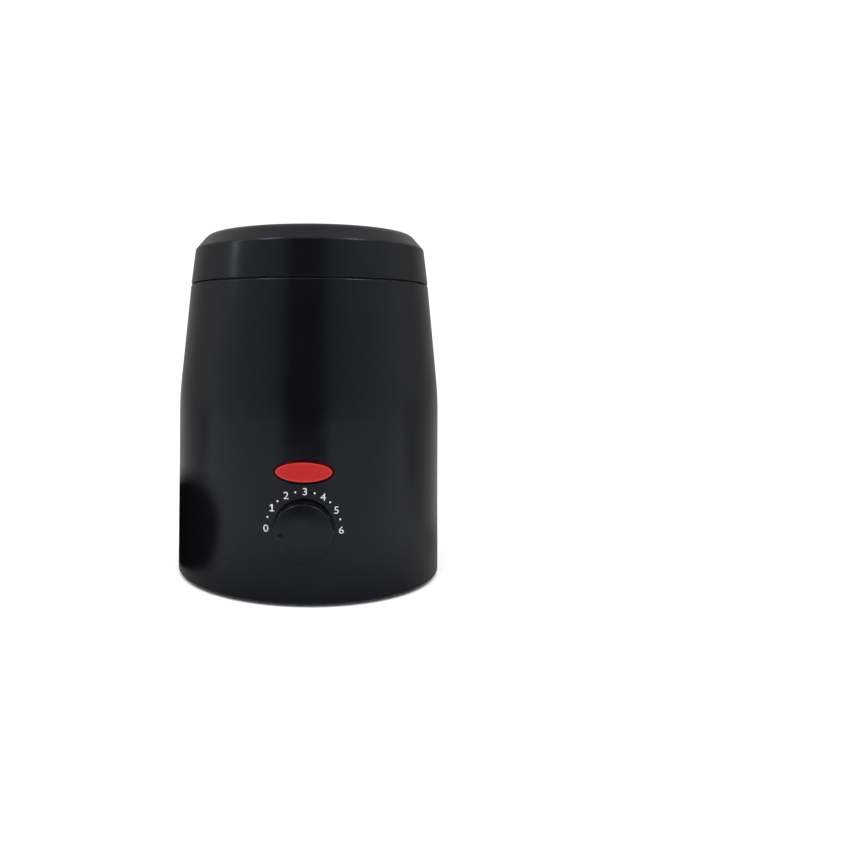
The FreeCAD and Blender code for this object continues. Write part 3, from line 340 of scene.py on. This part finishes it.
def make_tarnish():
    """Dull blotches on bare metal."""
    tree, given, put = effect("tarnish", {"Blotch Size": 6 * MM}, ("Mask",))
    blotch = lumps(tree, on_piece(tree), given["Blotch Size"], detail=7.0, distortion=0.5)
    put("Mask", rising(tree, blotch, low=0.42, high=0.68))
    return tree


mould_texture = make_mould_texture()
handling = make_handling()
edge_rub = make_edge_rub()
settled_dust = make_settled_dust()
lathe_rings = make_lathe_rings()
tarnish = make_tarnish()


# Finishes

DUST_COLOUR = (0.06, 0.06, 0.058, 1.0)
WORN_BLACK = (0.008, 0.008, 0.009, 1.0)
PLAIN_TINT = (1.0, 1.0, 1.0, 1.0)
COOL_TINT = (0.92, 0.96, 1.16, 1.0)
HAIRLINE_STRENGTH = 0.08
DUST_ROUGHENS = 0.3
STAIN_STRENGTH = 0.35
BAND_STRENGTH = 0.65


def finish(name, constants):
    """A new material, its node tree and its shader, which is given what holds all over the surface."""
    material = bpy.data.materials.new(name)
    material.use_nodes = True
    shader = material.node_tree.nodes["Principled BSDF"]
    for label, value in constants.items():
        shader.inputs[label].default_value = value
    return material, material.node_tree, shader


def placed(tree, group, **values):
    """A shared effect placed in a finish with its own values; a name's underscores stand for spaces."""
    plugs = {label.replace("_", " "): value for label, value in values.items()}
    return node(tree, "ShaderNodeGroup", plugs, node_tree=group).outputs


def dress(tree, shader, colour, roughness, height, depth):
    """Feeds the shader's colour and roughness, and its normal through a bump of that depth."""
    bump = node(tree, "ShaderNodeBump", {"Height": height, "Distance": depth})
    tree.links.new(colour, shader.inputs["Base Color"])
    tree.links.new(roughness, shader.inputs["Roughness"])
    tree.links.new(bump.outputs["Normal"], shader.inputs["Normal"])


def moulded(name, deep, pale, worn, gloss, rough, grain, depth, film, specular, tint=PLAIN_TINT):
    """Moulded plastic: clouded colour, rubbed edges, smudges, hairlines and dust over a fine grain."""
    material, tree, shader = finish(name, {"Specular IOR Level": specular, "Specular Tint": tint})
    skin = placed(tree, mould_texture, Grain_Size=grain)
    hands = placed(tree, handling)
    rub = placed(tree, edge_rub)
    dust = placed(tree, settled_dust, Film=film)
    colour = turning(tree, over_noise(tree, skin["Tone"], 0.0, 1.0), deep, pale)
    colour = turning(tree, rub["Mask"], colour, worn)
    colour = turning(tree, between(tree, hands["Hairline"], 0.0, HAIRLINE_STRENGTH), colour, worn)
    colour = turning(tree, dust["Mask"], colour, DUST_COLOUR)
    polish = between(tree, hands["Smudge"], rough, gloss)
    roughness = arithmetic(tree, "ADD", polish, between(tree, dust["Mask"], 0.0, DUST_ROUGHENS))
    dress(tree, shader, colour, roughness, skin["Height"], depth)
    return material


def satin_black():
    """The housing's and lid's satin moulding."""
    return moulded(
        "satin_black", deep=(0.0018, 0.0019, 0.0024, 1.0), pale=(0.0029, 0.0030, 0.0037, 1.0),
        worn=WORN_BLACK, gloss=0.19, rough=0.24, grain=0.35 * MM, depth=0.004 * MM,
        film=0.08, specular=0.16, tint=COOL_TINT)


def knob_black():
    """The knob's moulding, polished a little by fingers."""
    return moulded(
        "knob_black", deep=(0.0018, 0.0019, 0.0024, 1.0), pale=(0.0030, 0.0031, 0.0038, 1.0),
        worn=(0.0040, 0.0040, 0.0046, 1.0), gloss=0.18, rough=0.24, grain=0.30 * MM, depth=0.004 * MM,
        film=0.08, specular=0.16, tint=COOL_TINT)


def base_black():
    """The base cover's coarser moulding."""
    return moulded(
        "base_black", deep=(0.0070, 0.0070, 0.0075, 1.0), pale=(0.0110, 0.0110, 0.0118, 1.0),
        worn=WORN_BLACK, gloss=0.42, rough=0.52, grain=0.7 * MM, depth=0.03 * MM,
        film=0.05, specular=0.35)


def gland_black():
    """The cord gland's and its nut's nylon."""
    return moulded(
        "gland_black", deep=(0.0080, 0.0080, 0.0084, 1.0), pale=(0.0140, 0.0140, 0.0146, 1.0),
        worn=WORN_BLACK, gloss=0.36, rough=0.46, grain=0.5 * MM, depth=0.015 * MM,
        film=0.08, specular=0.35)


def thermostat_resin():
    """Brown moulded resin, as on a bulb thermostat's case."""
    return moulded(
        "thermostat_resin", deep=(0.055, 0.030, 0.020, 1.0), pale=(0.090, 0.052, 0.034, 1.0),
        worn=(0.16, 0.10, 0.07, 1.0), gloss=0.32, rough=0.45, grain=0.6 * MM, depth=0.02 * MM,
        film=0.04, specular=0.4)


def white_nylon():
    """The lamp holder's and terminal block's unfilled nylon."""
    return moulded(
        "white_nylon", deep=(0.66, 0.65, 0.60, 1.0), pale=(0.80, 0.79, 0.75, 1.0),
        worn=(0.85, 0.84, 0.80, 1.0), gloss=0.34, rough=0.44, grain=0.5 * MM, depth=0.01 * MM,
        film=0.06, specular=0.4)


def to_unit_oval(tree, way, wide, high):
    """A vector shrunk so that an upright oval of that size, seen from the front, becomes a unit circle."""
    plugs = {"Vector": way, "Vector_001": (2 / wide, 0.0, 2 / high)}
    return node(tree, "ShaderNodeVectorMath", plugs, operation="MULTIPLY").outputs[0]


def inside_oval(tree, middle, wide, high):
    """How far inside the edge of an upright oval a place lies, seen from the front."""
    plugs = {"Vector": on_piece(tree), "Vector_001": middle}
    from_middle = node(tree, "ShaderNodeVectorMath", plugs, operation="SUBTRACT").outputs[0]
    unit = to_unit_oval(tree, from_middle, wide, high)
    reach = length(tree, unit)
    steepness = arithmetic(tree, "DIVIDE", length(tree, to_unit_oval(tree, unit, wide, high)), reach)
    return arithmetic(tree, "DIVIDE", arithmetic(tree, "SUBTRACT", 1.0, reach), steepness)


def red_lens():
    """The pilot lamp's red lens: a ring of painted shade at its edge, then a painted highlight line, then
    an even satin face.
    """
    deep_red = (0.29, 0.0075, 0.0085, 1.0)
    bright_red = (0.35, 0.0120, 0.0120, 1.0)
    highlight_line_red = (0.40, 0.070, 0.062, 1.0)
    shade_ring_red = (0.050, 0.0010, 0.0010, 1.0)
    material, tree, shader = finish("red_lens", {"Specular IOR Level": 0.12, "Coat Roughness": 0.18})
    skin = placed(tree, mould_texture, Grain_Size=0.5 * MM, Cloud_Size=9 * MM)
    hands = placed(tree, handling, Smudge_Size=7 * MM)
    low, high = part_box("indicator_lens")
    inside = inside_oval(tree, (low + high) / 2, LENS_W, LENS_H)
    colour = turning(tree, skin["Tone"], deep_red, bright_red)
    # painted highlight: a paler line just inside the edge stands in for light caught on the lens's rounded
    # rim
    line = ranged(tree, inside, LENS_SHADE_RING_END, LENS_HIGHLIGHT_LINE_END, LENS_HIGHLIGHT_LINE_STRENGTH, 0.0)
    colour = turning(tree, line, colour, highlight_line_red)
    # painted shade: a dark ring at the edge stands in for the shaded lip of the opening; it is also made
    # metallic and left without coat so it stays dark
    ring = falling(tree, inside, LENS_SHADE_RING_FULL, LENS_SHADE_RING_END)
    colour = turning(tree, ring, colour, shade_ring_red)
    roughness = between(tree, hands["Smudge"], 0.36, 0.28)
    face = arithmetic(tree, "SUBTRACT", 1.0, ring)
    coat = arithmetic(tree, "MULTIPLY", between(tree, hands["Smudge"], 0.12, 0.04), face)
    tree.links.new(coat, shader.inputs["Coat Weight"])
    tree.links.new(ring, shader.inputs["Metallic"])
    dress(tree, shader, colour, roughness, skin["Height"], depth=0.004 * MM)
    return material


def bare_metal(name, bright, dull, smooth, rough, blotch):
    """Plain metal: dull blotches, wiping hairlines and rubbed bright edges."""
    material, tree, shader = finish(name, {"Metallic": 1.0})
    stain = placed(tree, tarnish, Blotch_Size=blotch)
    hands = placed(tree, handling, Smudge_Size=2 * blotch, Hairline_Spacing=blotch)
    rub = placed(tree, edge_rub, Reach=0.25 * MM)
    colour = turning(tree, stain["Mask"], bright, dull)
    colour = turning(tree, rub["Mask"], colour, bright)
    dulled = arithmetic(tree, "MAXIMUM", stain["Mask"], hands["Smudge"])
    roughness = between(tree, dulled, smooth, rough)
    dress(tree, shader, colour, roughness, hands["Hairline"], depth=0.004 * MM)
    return material


def zinc_steel():
    """Zinc-plated steel of the bail, bracket, screws, fuse clip and knob shaft."""
    return bare_metal("zinc_steel", bright=(0.66, 0.67, 0.69, 1.0), dull=(0.42, 0.42, 0.43, 1.0),
                      smooth=0.24, rough=0.42, blotch=4 * MM)


def drawn_copper():
    """The bulb's and capillary's copper, browned by heat in places."""
    return bare_metal("drawn_copper", bright=(0.80, 0.42, 0.26, 1.0), dull=(0.30, 0.14, 0.085, 1.0),
                      smooth=0.26, rough=0.48, blotch=3 * MM)


def tinned_fuse():
    """The thermal fuse's tinned case."""
    return bare_metal("tinned_fuse", bright=(0.76, 0.74, 0.69, 1.0), dull=(0.52, 0.50, 0.46, 1.0),
                      smooth=0.22, rough=0.36, blotch=2 * MM)


def lathed(name, bright, dull, smooth, rough, pitch, depth):
    """Aluminium with lathe rings, stained a little."""
    material, tree, shader = finish(name, {"Metallic": 1.0})
    rings = placed(tree, lathe_rings, Pitch=pitch)
    stain = placed(tree, tarnish, Blotch_Size=22 * MM)
    rub = placed(tree, edge_rub, Reach=0.4 * MM)
    film = arithmetic(tree, "MULTIPLY", stain["Mask"], STAIN_STRENGTH)
    bands = ranged(tree, rings["Tone"], low=0.35, high=0.65, start=0.0, end=BAND_STRENGTH)
    colour = turning(tree, arithmetic(tree, "ADD", bands, film), bright, dull)
    colour = turning(tree, rub["Mask"], colour, bright)
    dulled = arithmetic(tree, "ADD", rings["Tone"], film)
    roughness = ranged(tree, dulled, low=0.3, high=1.0, start=smooth, end=rough)
    dress(tree, shader, colour, roughness, rings["Height"], depth)
    return material


def spun_aluminium():
    """The lift-out wax pot."""
    return lathed("spun_aluminium", bright=(0.66, 0.66, 0.67, 1.0), dull=(0.50, 0.50, 0.51, 1.0),
                  smooth=0.24, rough=0.38, pitch=0.45 * MM, depth=0.012 * MM)


def drawn_aluminium():
    """The heating chamber and the heater plate, duller than the pot."""
    return lathed("drawn_aluminium", bright=(0.58, 0.58, 0.59, 1.0), dull=(0.42, 0.42, 0.42, 1.0),
                  smooth=0.34, rough=0.50, pitch=0.70 * MM, depth=0.012 * MM)


def soft_moulding(name, deep, pale, smooth, rough, grain, depth, film):
    """Matt rubber or silicone: clouded colour and dust in a soft grain."""
    material, tree, shader = finish(name, {"Specular IOR Level": 0.35})
    skin = placed(tree, mould_texture, Grain_Size=grain, Cloud_Size=8 * MM)
    dust = placed(tree, settled_dust, Film=film, Speck_Spacing=3 * MM)
    colour = turning(tree, skin["Tone"], deep, pale)
    colour = turning(tree, dust["Mask"], colour, DUST_COLOUR)
    roughness = over_noise(tree, skin["Height"], smooth, rough)
    dress(tree, shader, colour, roughness, skin["Height"], depth)
    return material


def red_silicone():
    """The gasket between the deck and the chamber's flange."""
    return soft_moulding("red_silicone", deep=(0.36, 0.070, 0.045, 1.0), pale=(0.52, 0.120, 0.080, 1.0),
                         smooth=0.48, rough=0.60, grain=0.4 * MM, depth=0.01 * MM, film=0.10)


def foot_rubber():
    """The four feet."""
    return soft_moulding("foot_rubber", deep=(0.010, 0.010, 0.010, 1.0), pale=(0.022, 0.022, 0.021, 1.0),
                         smooth=0.62, rough=0.80, grain=0.6 * MM, depth=0.03 * MM, film=0.20)


def lead(name, deep, pale):
    """A lead's silicone sleeve."""
    return soft_moulding(name, deep, pale,
                         smooth=0.42, rough=0.55, grain=0.5 * MM, depth=0.008 * MM, film=0.05)


def brown_lead():
    """The incoming live lead."""
    return lead("brown_lead", deep=(0.12, 0.050, 0.022, 1.0), pale=(0.19, 0.085, 0.040, 1.0))


def blue_lead():
    """The neutral leads."""
    return lead("blue_lead", deep=(0.030, 0.085, 0.28, 1.0), pale=(0.050, 0.13, 0.40, 1.0))


def red_lead():
    """The switched leads."""
    return lead("red_lead", deep=(0.34, 0.035, 0.028, 1.0), pale=(0.50, 0.058, 0.046, 1.0))


def glass_felt():
    """The insulation sleeve's needled glass felt."""
    cream = (0.64, 0.61, 0.53, 1.0)
    white = (0.84, 0.82, 0.76, 1.0)
    shade = (0.46, 0.43, 0.36, 1.0)
    material, tree, shader = finish("glass_felt", {"Specular IOR Level": 0.2, "Sheen Weight": 0.3})
    skin = placed(tree, mould_texture, Grain_Size=1.2 * MM, Cloud_Size=12 * MM)
    fibres = lumps(tree, on_piece(tree), size=0.5 * MM, detail=6.0, distortion=3.0)
    height = arithmetic(tree, "ADD", skin["Height"], fibres)
    # painted shade: darker colour in the hollows between fibres
    hollow_shade = ranged(tree, fibres, low=0.35, high=0.6, start=0.5, end=0.0)
    colour = turning(tree, skin["Tone"], cream, white)
    colour = turning(tree, hollow_shade, colour, shade)
    dress(tree, shader, colour, over_noise(tree, fibres, 0.85, 0.98), height, depth=0.15 * MM)
    return material


def lamp_glass():
    """The neon lamp's bulb, tinged with amber, with a thin haze on the glass."""
    amber = (0.92, 0.72, 0.60, 1.0)
    pale_amber = (0.97, 0.84, 0.74, 1.0)
    material, tree, shader = finish("lamp_glass", {"Transmission Weight": 0.9, "IOR": 1.47})
    skin = placed(tree, mould_texture, Grain_Size=0.8 * MM, Cloud_Size=3 * MM)
    colour = turning(tree, skin["Tone"], amber, pale_amber)
    haze = over_noise(tree, skin["Tone"], 0.04, 0.12)
    dress(tree, shader, colour, haze, skin["Height"], depth=0.002 * MM)
    return material


def dial_ink():
    """Pale printing ink, a little thin and speckled."""
    grey = (0.50, 0.50, 0.56, 1.0)
    pale_grey = (0.60, 0.60, 0.66, 1.0)
    thin_grey = (0.32, 0.32, 0.37, 1.0)
    material, tree, shader = finish("dial_ink", {"Specular IOR Level": 0.3})
    skin = placed(tree, mould_texture, Grain_Size=0.18 * MM, Cloud_Size=2.5 * MM)
    thin = ranged(tree, skin["Height"], low=0.30, high=0.45, start=0.25, end=0.0)
    colour = turning(tree, skin["Tone"], grey, pale_grey)
    colour = turning(tree, thin, colour, thin_grey)
    roughness = over_noise(tree, skin["Tone"], 0.42, 0.55)
    dress(tree, shader, colour, roughness, skin["Height"], depth=0.01 * MM)
    return material


def dress_cad_pieces():
    """Gives every piece the finish that its slot names."""
    finishes = {
        "black_plastic": satin_black(),
        "knob_plastic": knob_black(),
        "base_plastic": base_black(),
        "red_lens": red_lens(),
        "pot_aluminium": spun_aluminium(),
        "chamber_aluminium": drawn_aluminium(),
        "steel": zinc_steel(),
        "silicone": red_silicone(),
        "fibre": glass_felt(),
        "thermostat_resin": thermostat_resin(),
        "copper": drawn_copper(),
        "white_nylon": white_nylon(),
        "lamp_glass": lamp_glass(),
        "gland_plastic": gland_black(),
        "fuse_metal": tinned_fuse(),
        "brown_lead": brown_lead(),
        "blue_lead": blue_lead(),
        "red_lead": red_lead(),
        "foot_rubber": foot_rubber(),
    }
    for piece in frame["nodes"].values():
        for place in piece.material_slots:
            place.material = finishes[place.material.name]


# Dial print

def wall_behind(x, z):
    """How far back the housing's front wall stands at that place."""
    start = Vector((x, -RAY_START, z))
    _, hit, _, _ = frame["nodes"]["housing"].ray_cast(start, Vector((0.0, 1.0, 0.0)))
    return hit.y


def lay_on_wall(shape, across, up):
    """Lays a flat shape on the wall, centred there: its upper side just proud, its lower side just sunk."""
    for point in shape.vertices:
        x = across + point.co.x
        z = up + point.co.y
        lift = INK_LIFT if point.co.z > 0.0 else -INK_SINK
        point.co = (x, wall_behind(x, z) - lift, z)


def footed_one(name):
    """The outline of a 1 that stands on a foot, one unit tall."""
    curve = bpy.data.curves.new(name, "CURVE")
    curve.dimensions = "2D"
    curve.fill_mode = "BOTH"
    line = curve.splines.new("POLY")
    line.points.add(len(ONE_OUTLINE_SHARES) - 1)
    for point, (across, up) in zip(line.points, ONE_OUTLINE_SHARES):
        point.co = (across, up, 0.0, 1.0)
    line.use_cyclic_u = True
    return curve


def font_digit(name, digit):
    """A digit of the plain built-in font."""
    letter = bpy.data.curves.new(name, "FONT")
    letter.body = str(digit)
    letter.resolution_u = FONT_STEPS
    return letter


def numeral_shape(name, digit):
    """A dial number as a mesh, NUMERAL_H tall and centred on zero."""
    outline = footed_one(name) if digit == 1 else font_digit(name, digit)
    outline.extrude = NUMERAL_H
    holder = bpy.data.objects.new(name, outline)
    shape = bpy.data.meshes.new_from_object(holder)
    bpy.data.objects.remove(holder)
    points = [point.co for point in shape.vertices]
    low = Vector(map(min, *points))
    high = Vector(map(max, *points))
    fit = NUMERAL_H / (high.y - low.y)
    wide = fit if digit == 1 else fit * NUMERAL_WIDE_SHARE
    shape.transform(Matrix.Diagonal((wide, fit, fit, 1.0)) @ Matrix.Translation(-(low + high) / 2))
    return shape


def dot_shape(name):
    """A dial dot as a mesh, a low button centred on zero."""
    made = bmesh.new()
    bmesh.ops.create_cone(made, cap_ends=True, segments=DOT_SIDES, radius1=DOT_R,
                          radius2=DOT_TOP_SHARE * DOT_R, depth=DOT_R)
    return mesh_of(name, made)


def print_dial():
    """Prints the numbers on a half ring round the knob, with a dot between each two."""
    ink = dial_ink()
    turn = next(joint for joint in frame["joints"] if joint["name"] == "knob_turn")
    centre_x, _, centre_z = turn["pos_m"]
    for step, turned in enumerate(DIAL_ANGLES_DEG):
        digit, is_dot = divmod(step, 2)
        name = f"dial_dot_{digit}" if is_dot else f"dial_number_{digit}"
        shape = dot_shape(name) if is_dot else numeral_shape(name, digit)
        angle = math.radians(turned)
        across = centre_x + DIAL_R * math.cos(angle)
        up = centre_z + DIAL_RISE + DIAL_R * math.sin(angle)
        lay_on_wall(shape, across, up)
        shape.materials.clear()
        shape.materials.append(ink)
        piece = in_scene(name, shape)
        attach(piece, "housing")


# Studio

def pale_floor():
    """A pale paint that shows only from above.

    What the plastic mirrors of it carries painted shade behind the heater and a painted shadow close to its
    foot.
    """
    white = (0.86, 0.86, 0.86, 1.0)
    bright_white = (0.90, 0.90, 0.90, 1.0)
    painted_shade_grey = (0.32, 0.32, 0.31, 1.0)
    painted_foot_shadow = (0.02, 0.02, 0.02, 1.0)
    material, tree, shader = finish("pale_floor", {"Specular IOR Level": 0.1})
    where = on_piece(tree)
    speckle = lumps(tree, where, FLOOR_SPECKLE, detail=4.0)
    pale = turning(tree, speckle, white, bright_white)
    back_along = node(tree, "ShaderNodeSeparateXYZ", {"Vector": where}).outputs["Y"]
    # painted shade: the mirrored tone darkens from before the heater to behind it
    behind = rising(tree, back_along, FLOOR_SHADE_START, FLOOR_SHADE_FULL)
    # painted shadow: the mirrored tone darkens close to the heater's foot
    close = ranged(tree, length(tree, where), FOOT_SHADE_IN, FOOT_SHADE_OUT, FOOT_SHADE_STRENGTH, 0.0)
    mirrored = turning(tree, close, turning(tree, behind, pale, painted_shade_grey), painted_foot_shadow)
    straight = node(tree, "ShaderNodeLightPath").outputs["Is Camera Ray"]
    colour = turning(tree, straight, mirrored, pale)
    dress(tree, shader, colour, over_noise(tree, speckle, 0.70, 0.80), speckle, depth=0.01 * MM)
    back = node(tree, "ShaderNodeNewGeometry").outputs["Backfacing"]
    clear = node(tree, "ShaderNodeBsdfTransparent").outputs[0]
    plugs = {"Fac": back, "Shader": shader.outputs[0], "Shader_001": clear}
    one_way = node(tree, "ShaderNodeMixShader", plugs).outputs[0]
    tree.links.new(one_way, tree.nodes["Material Output"].inputs["Surface"])
    return material


def lay_floor():
    """The wide round floor that the heater stands on."""
    made = bmesh.new()
    bmesh.ops.create_circle(made, cap_ends=True, segments=FLOOR_SIDES, radius=FLOOR_R)
    shape = mesh_of("floor", made)
    shape.materials.append(pale_floor())
    floor = in_scene("floor", shape)


def studio_air():
    """The room's light, which the black plastic mirrors softly; the camera itself sees plain white."""
    world = bpy.data.worlds.new("studio_air")
    world.use_nodes = True
    tree = world.node_tree
    way = node(tree, "ShaderNodeTexCoord").outputs["Generated"]
    parts = node(tree, "ShaderNodeSeparateXYZ", {"Vector": way}).outputs
    ramp = node(tree, "ShaderNodeValToRGB", {"Fac": rising(tree, parts["Y"], low=-1.0, high=1.0)})
    stops = ramp.color_ramp.elements
    stops.remove(stops[-1])
    stops[0].color = SURROUND[0][1]
    for angle, colour in SURROUND[1:]:
        along = (1.0 - math.cos(math.radians(angle))) / 2
        stops.new(along).color = colour
    high = ranged(tree, parts["Z"], HIGH_START_SHARE, HIGH_FULL_SHARE, 0.0, HIGH_BACK_GAIN)
    high_back = arithmetic(tree, "MULTIPLY", high, rising(tree, parts["Y"], 0.0, BACK_FULL_SHARE))
    around = tree.nodes["Background"]
    tree.links.new(ramp.outputs["Color"], around.inputs["Color"])
    tree.links.new(arithmetic(tree, "ADD", high_back, 1.0), around.inputs["Strength"])
    seen = node(tree, "ShaderNodeBackground", {"Color": SEEN_WHITE, "Strength": SEEN_STRENGTH})
    straight = node(tree, "ShaderNodeLightPath").outputs["Is Camera Ray"]
    plugs = {"Fac": straight, "Shader": around.outputs[0], "Shader_001": seen.outputs[0]}
    either = node(tree, "ShaderNodeMixShader", plugs)
    tree.links.new(either.outputs[0], tree.nodes["World Output"].inputs["Surface"])
    bpy.context.scene.world = world


def lamp(name, kind, power, place, aim):
    """A studio lamp at a place, turned to shine at aim, and the object that holds it."""
    light = bpy.data.lights.new(name, kind)
    light.energy = power
    stand = in_scene(name, light)
    stand.location = place
    stand.rotation_euler = (aim - place).to_track_quat("-Z", "Y").to_euler()
    stand.visible_camera = False
    return light, stand


def towards(round_front, up):
    """The direction that lies that far round from the front and that far up."""
    level = Vector((math.sin(round_front), -math.cos(round_front), 0.0)) * math.cos(up)
    return level + Vector((0.0, 0.0, math.sin(up)))


def studio_lamps():
    """Even light on print and floor, a strip for the lit band down the lid, and two boxes for lit edges."""
    middle = Vector((0.0, 0.0, LAMP_AIM))
    before = middle + towards(0.0, FRONT_LAMP_UP)
    front, stand = lamp("front_lamp", "SUN", FRONT_LAMP_STRENGTH, before, middle)
    front.angle = FRONT_LAMP_SPREAD
    stand.visible_glossy = False
    for name, (round_front, up, wide, long, power) in SOFT_LAMPS.items():
        way = towards(math.radians(round_front), math.radians(up))
        soft, _ = lamp(name, "AREA", power, middle + way * LAMP_FAR, middle)
        soft.shape = "RECTANGLE"
        soft.size = wide * MM
        soft.size_y = long * MM


def card_black(name, shade):
    """A card's dull black, woven a little."""
    material, tree, shader = finish(name, {"Specular IOR Level": 0.0})
    weave = lumps(tree, on_piece(tree), CARD_WEAVE)
    low = (1.0 - CARD_WEAVE_SHARE) * shade
    high = (1.0 + CARD_WEAVE_SHARE) * shade
    dark = (low, low, CARD_BLUE_SHARE * low, 1.0)
    light = (high, high, CARD_BLUE_SHARE * high, 1.0)
    colour = turning(tree, weave, dark, light)
    dress(tree, shader, colour, over_noise(tree, weave, 0.9, 1.0), weave, depth=0.1 * MM)
    return material, tree, shader


def stand_card(name, shape, material):
    """Stands a card that shows only mirrored in the heater."""
    shape.materials.append(material)
    card = in_scene(name, shape)
    card.visible_camera = False
    card.visible_diffuse = False
    card.visible_transmission = False
    card.visible_shadow = False
    return card


def front_card():
    """The tall card before the heater, a black flag as in a studio."""
    material, _, _ = card_black("front_card", FRONT_CARD_SHADE)
    outline = ((FRONT_CARD_LEFT, 0.0), (FRONT_CARD_RIGHT, 0.0),
               (FRONT_CARD_RIGHT, FRONT_CARD_H), (FRONT_CARD_LEFT, FRONT_CARD_H))
    corners = [(across, -FRONT_CARD_AWAY, up) for across, up in outline]
    shape = bpy.data.meshes.new("front_card")
    shape.from_pydata(corners, [], [range(len(corners))])
    stand_card("front_card", shape, material)


def left_card():
    """The oval card close to the heater's left side, a painted shadow standing for the heater's own shadow
    on the table; it thins out towards its edge.
    """
    material, tree, shader = card_black("left_card", LEFT_SHADOW_CARD_SHADE)
    reach = length(tree, to_unit_oval(tree, on_piece(tree), LEFT_CARD_W, LEFT_CARD_H))
    tree.links.new(falling(tree, reach, LEFT_CARD_FULL_SHARE, 1.0), shader.inputs["Alpha"])
    upright = Matrix.Rotation(QUARTER_TURN, 4, "X")
    stretched = Matrix.Diagonal((LEFT_CARD_W / 2, LEFT_CARD_H / 2, 1.0, 1.0))
    made = bmesh.new()
    bmesh.ops.create_circle(made, cap_ends=True, segments=LEFT_CARD_SIDES, radius=1.0,
                            matrix=upright @ stretched)
    card = stand_card("left_card", mesh_of("left_card", made), material)
    card.matrix_world = Matrix.Translation(LEFT_CARD_PLACE) @ Matrix.Rotation(LEFT_CARD_TURN, 4, "Z")


def set_camera():
    """The camera where the photograph was taken from, with the heater as far left and low in the frame."""
    eye = bpy.data.cameras.new("camera")
    eye.lens = FOCAL_LENGTH_MM
    eye.shift_x = SHIFT_RIGHT
    eye.shift_y = -SHIFT_DOWN
    place = Vector((EYE_BACK * math.sin(EYE_ROUND), -EYE_BACK * math.cos(EYE_ROUND), EYE_UP))
    aim = Matrix.Rotation(EYE_ROUND, 4, "Z") @ Matrix.Rotation(QUARTER_TURN - EYE_PITCH, 4, "X")
    roll = Matrix.Rotation(EYE_ROLL, 4, "Z")
    camera = in_scene("camera", eye)
    camera.matrix_world = Matrix.Translation(place) @ aim @ roll
    bpy.context.scene.camera = camera
    bpy.context.scene.view_settings.view_transform = "Standard"


dress_cad_pieces()
print_dial()
lay_floor()
studio_air()
studio_lamps()
front_card()
left_card()
set_camera()
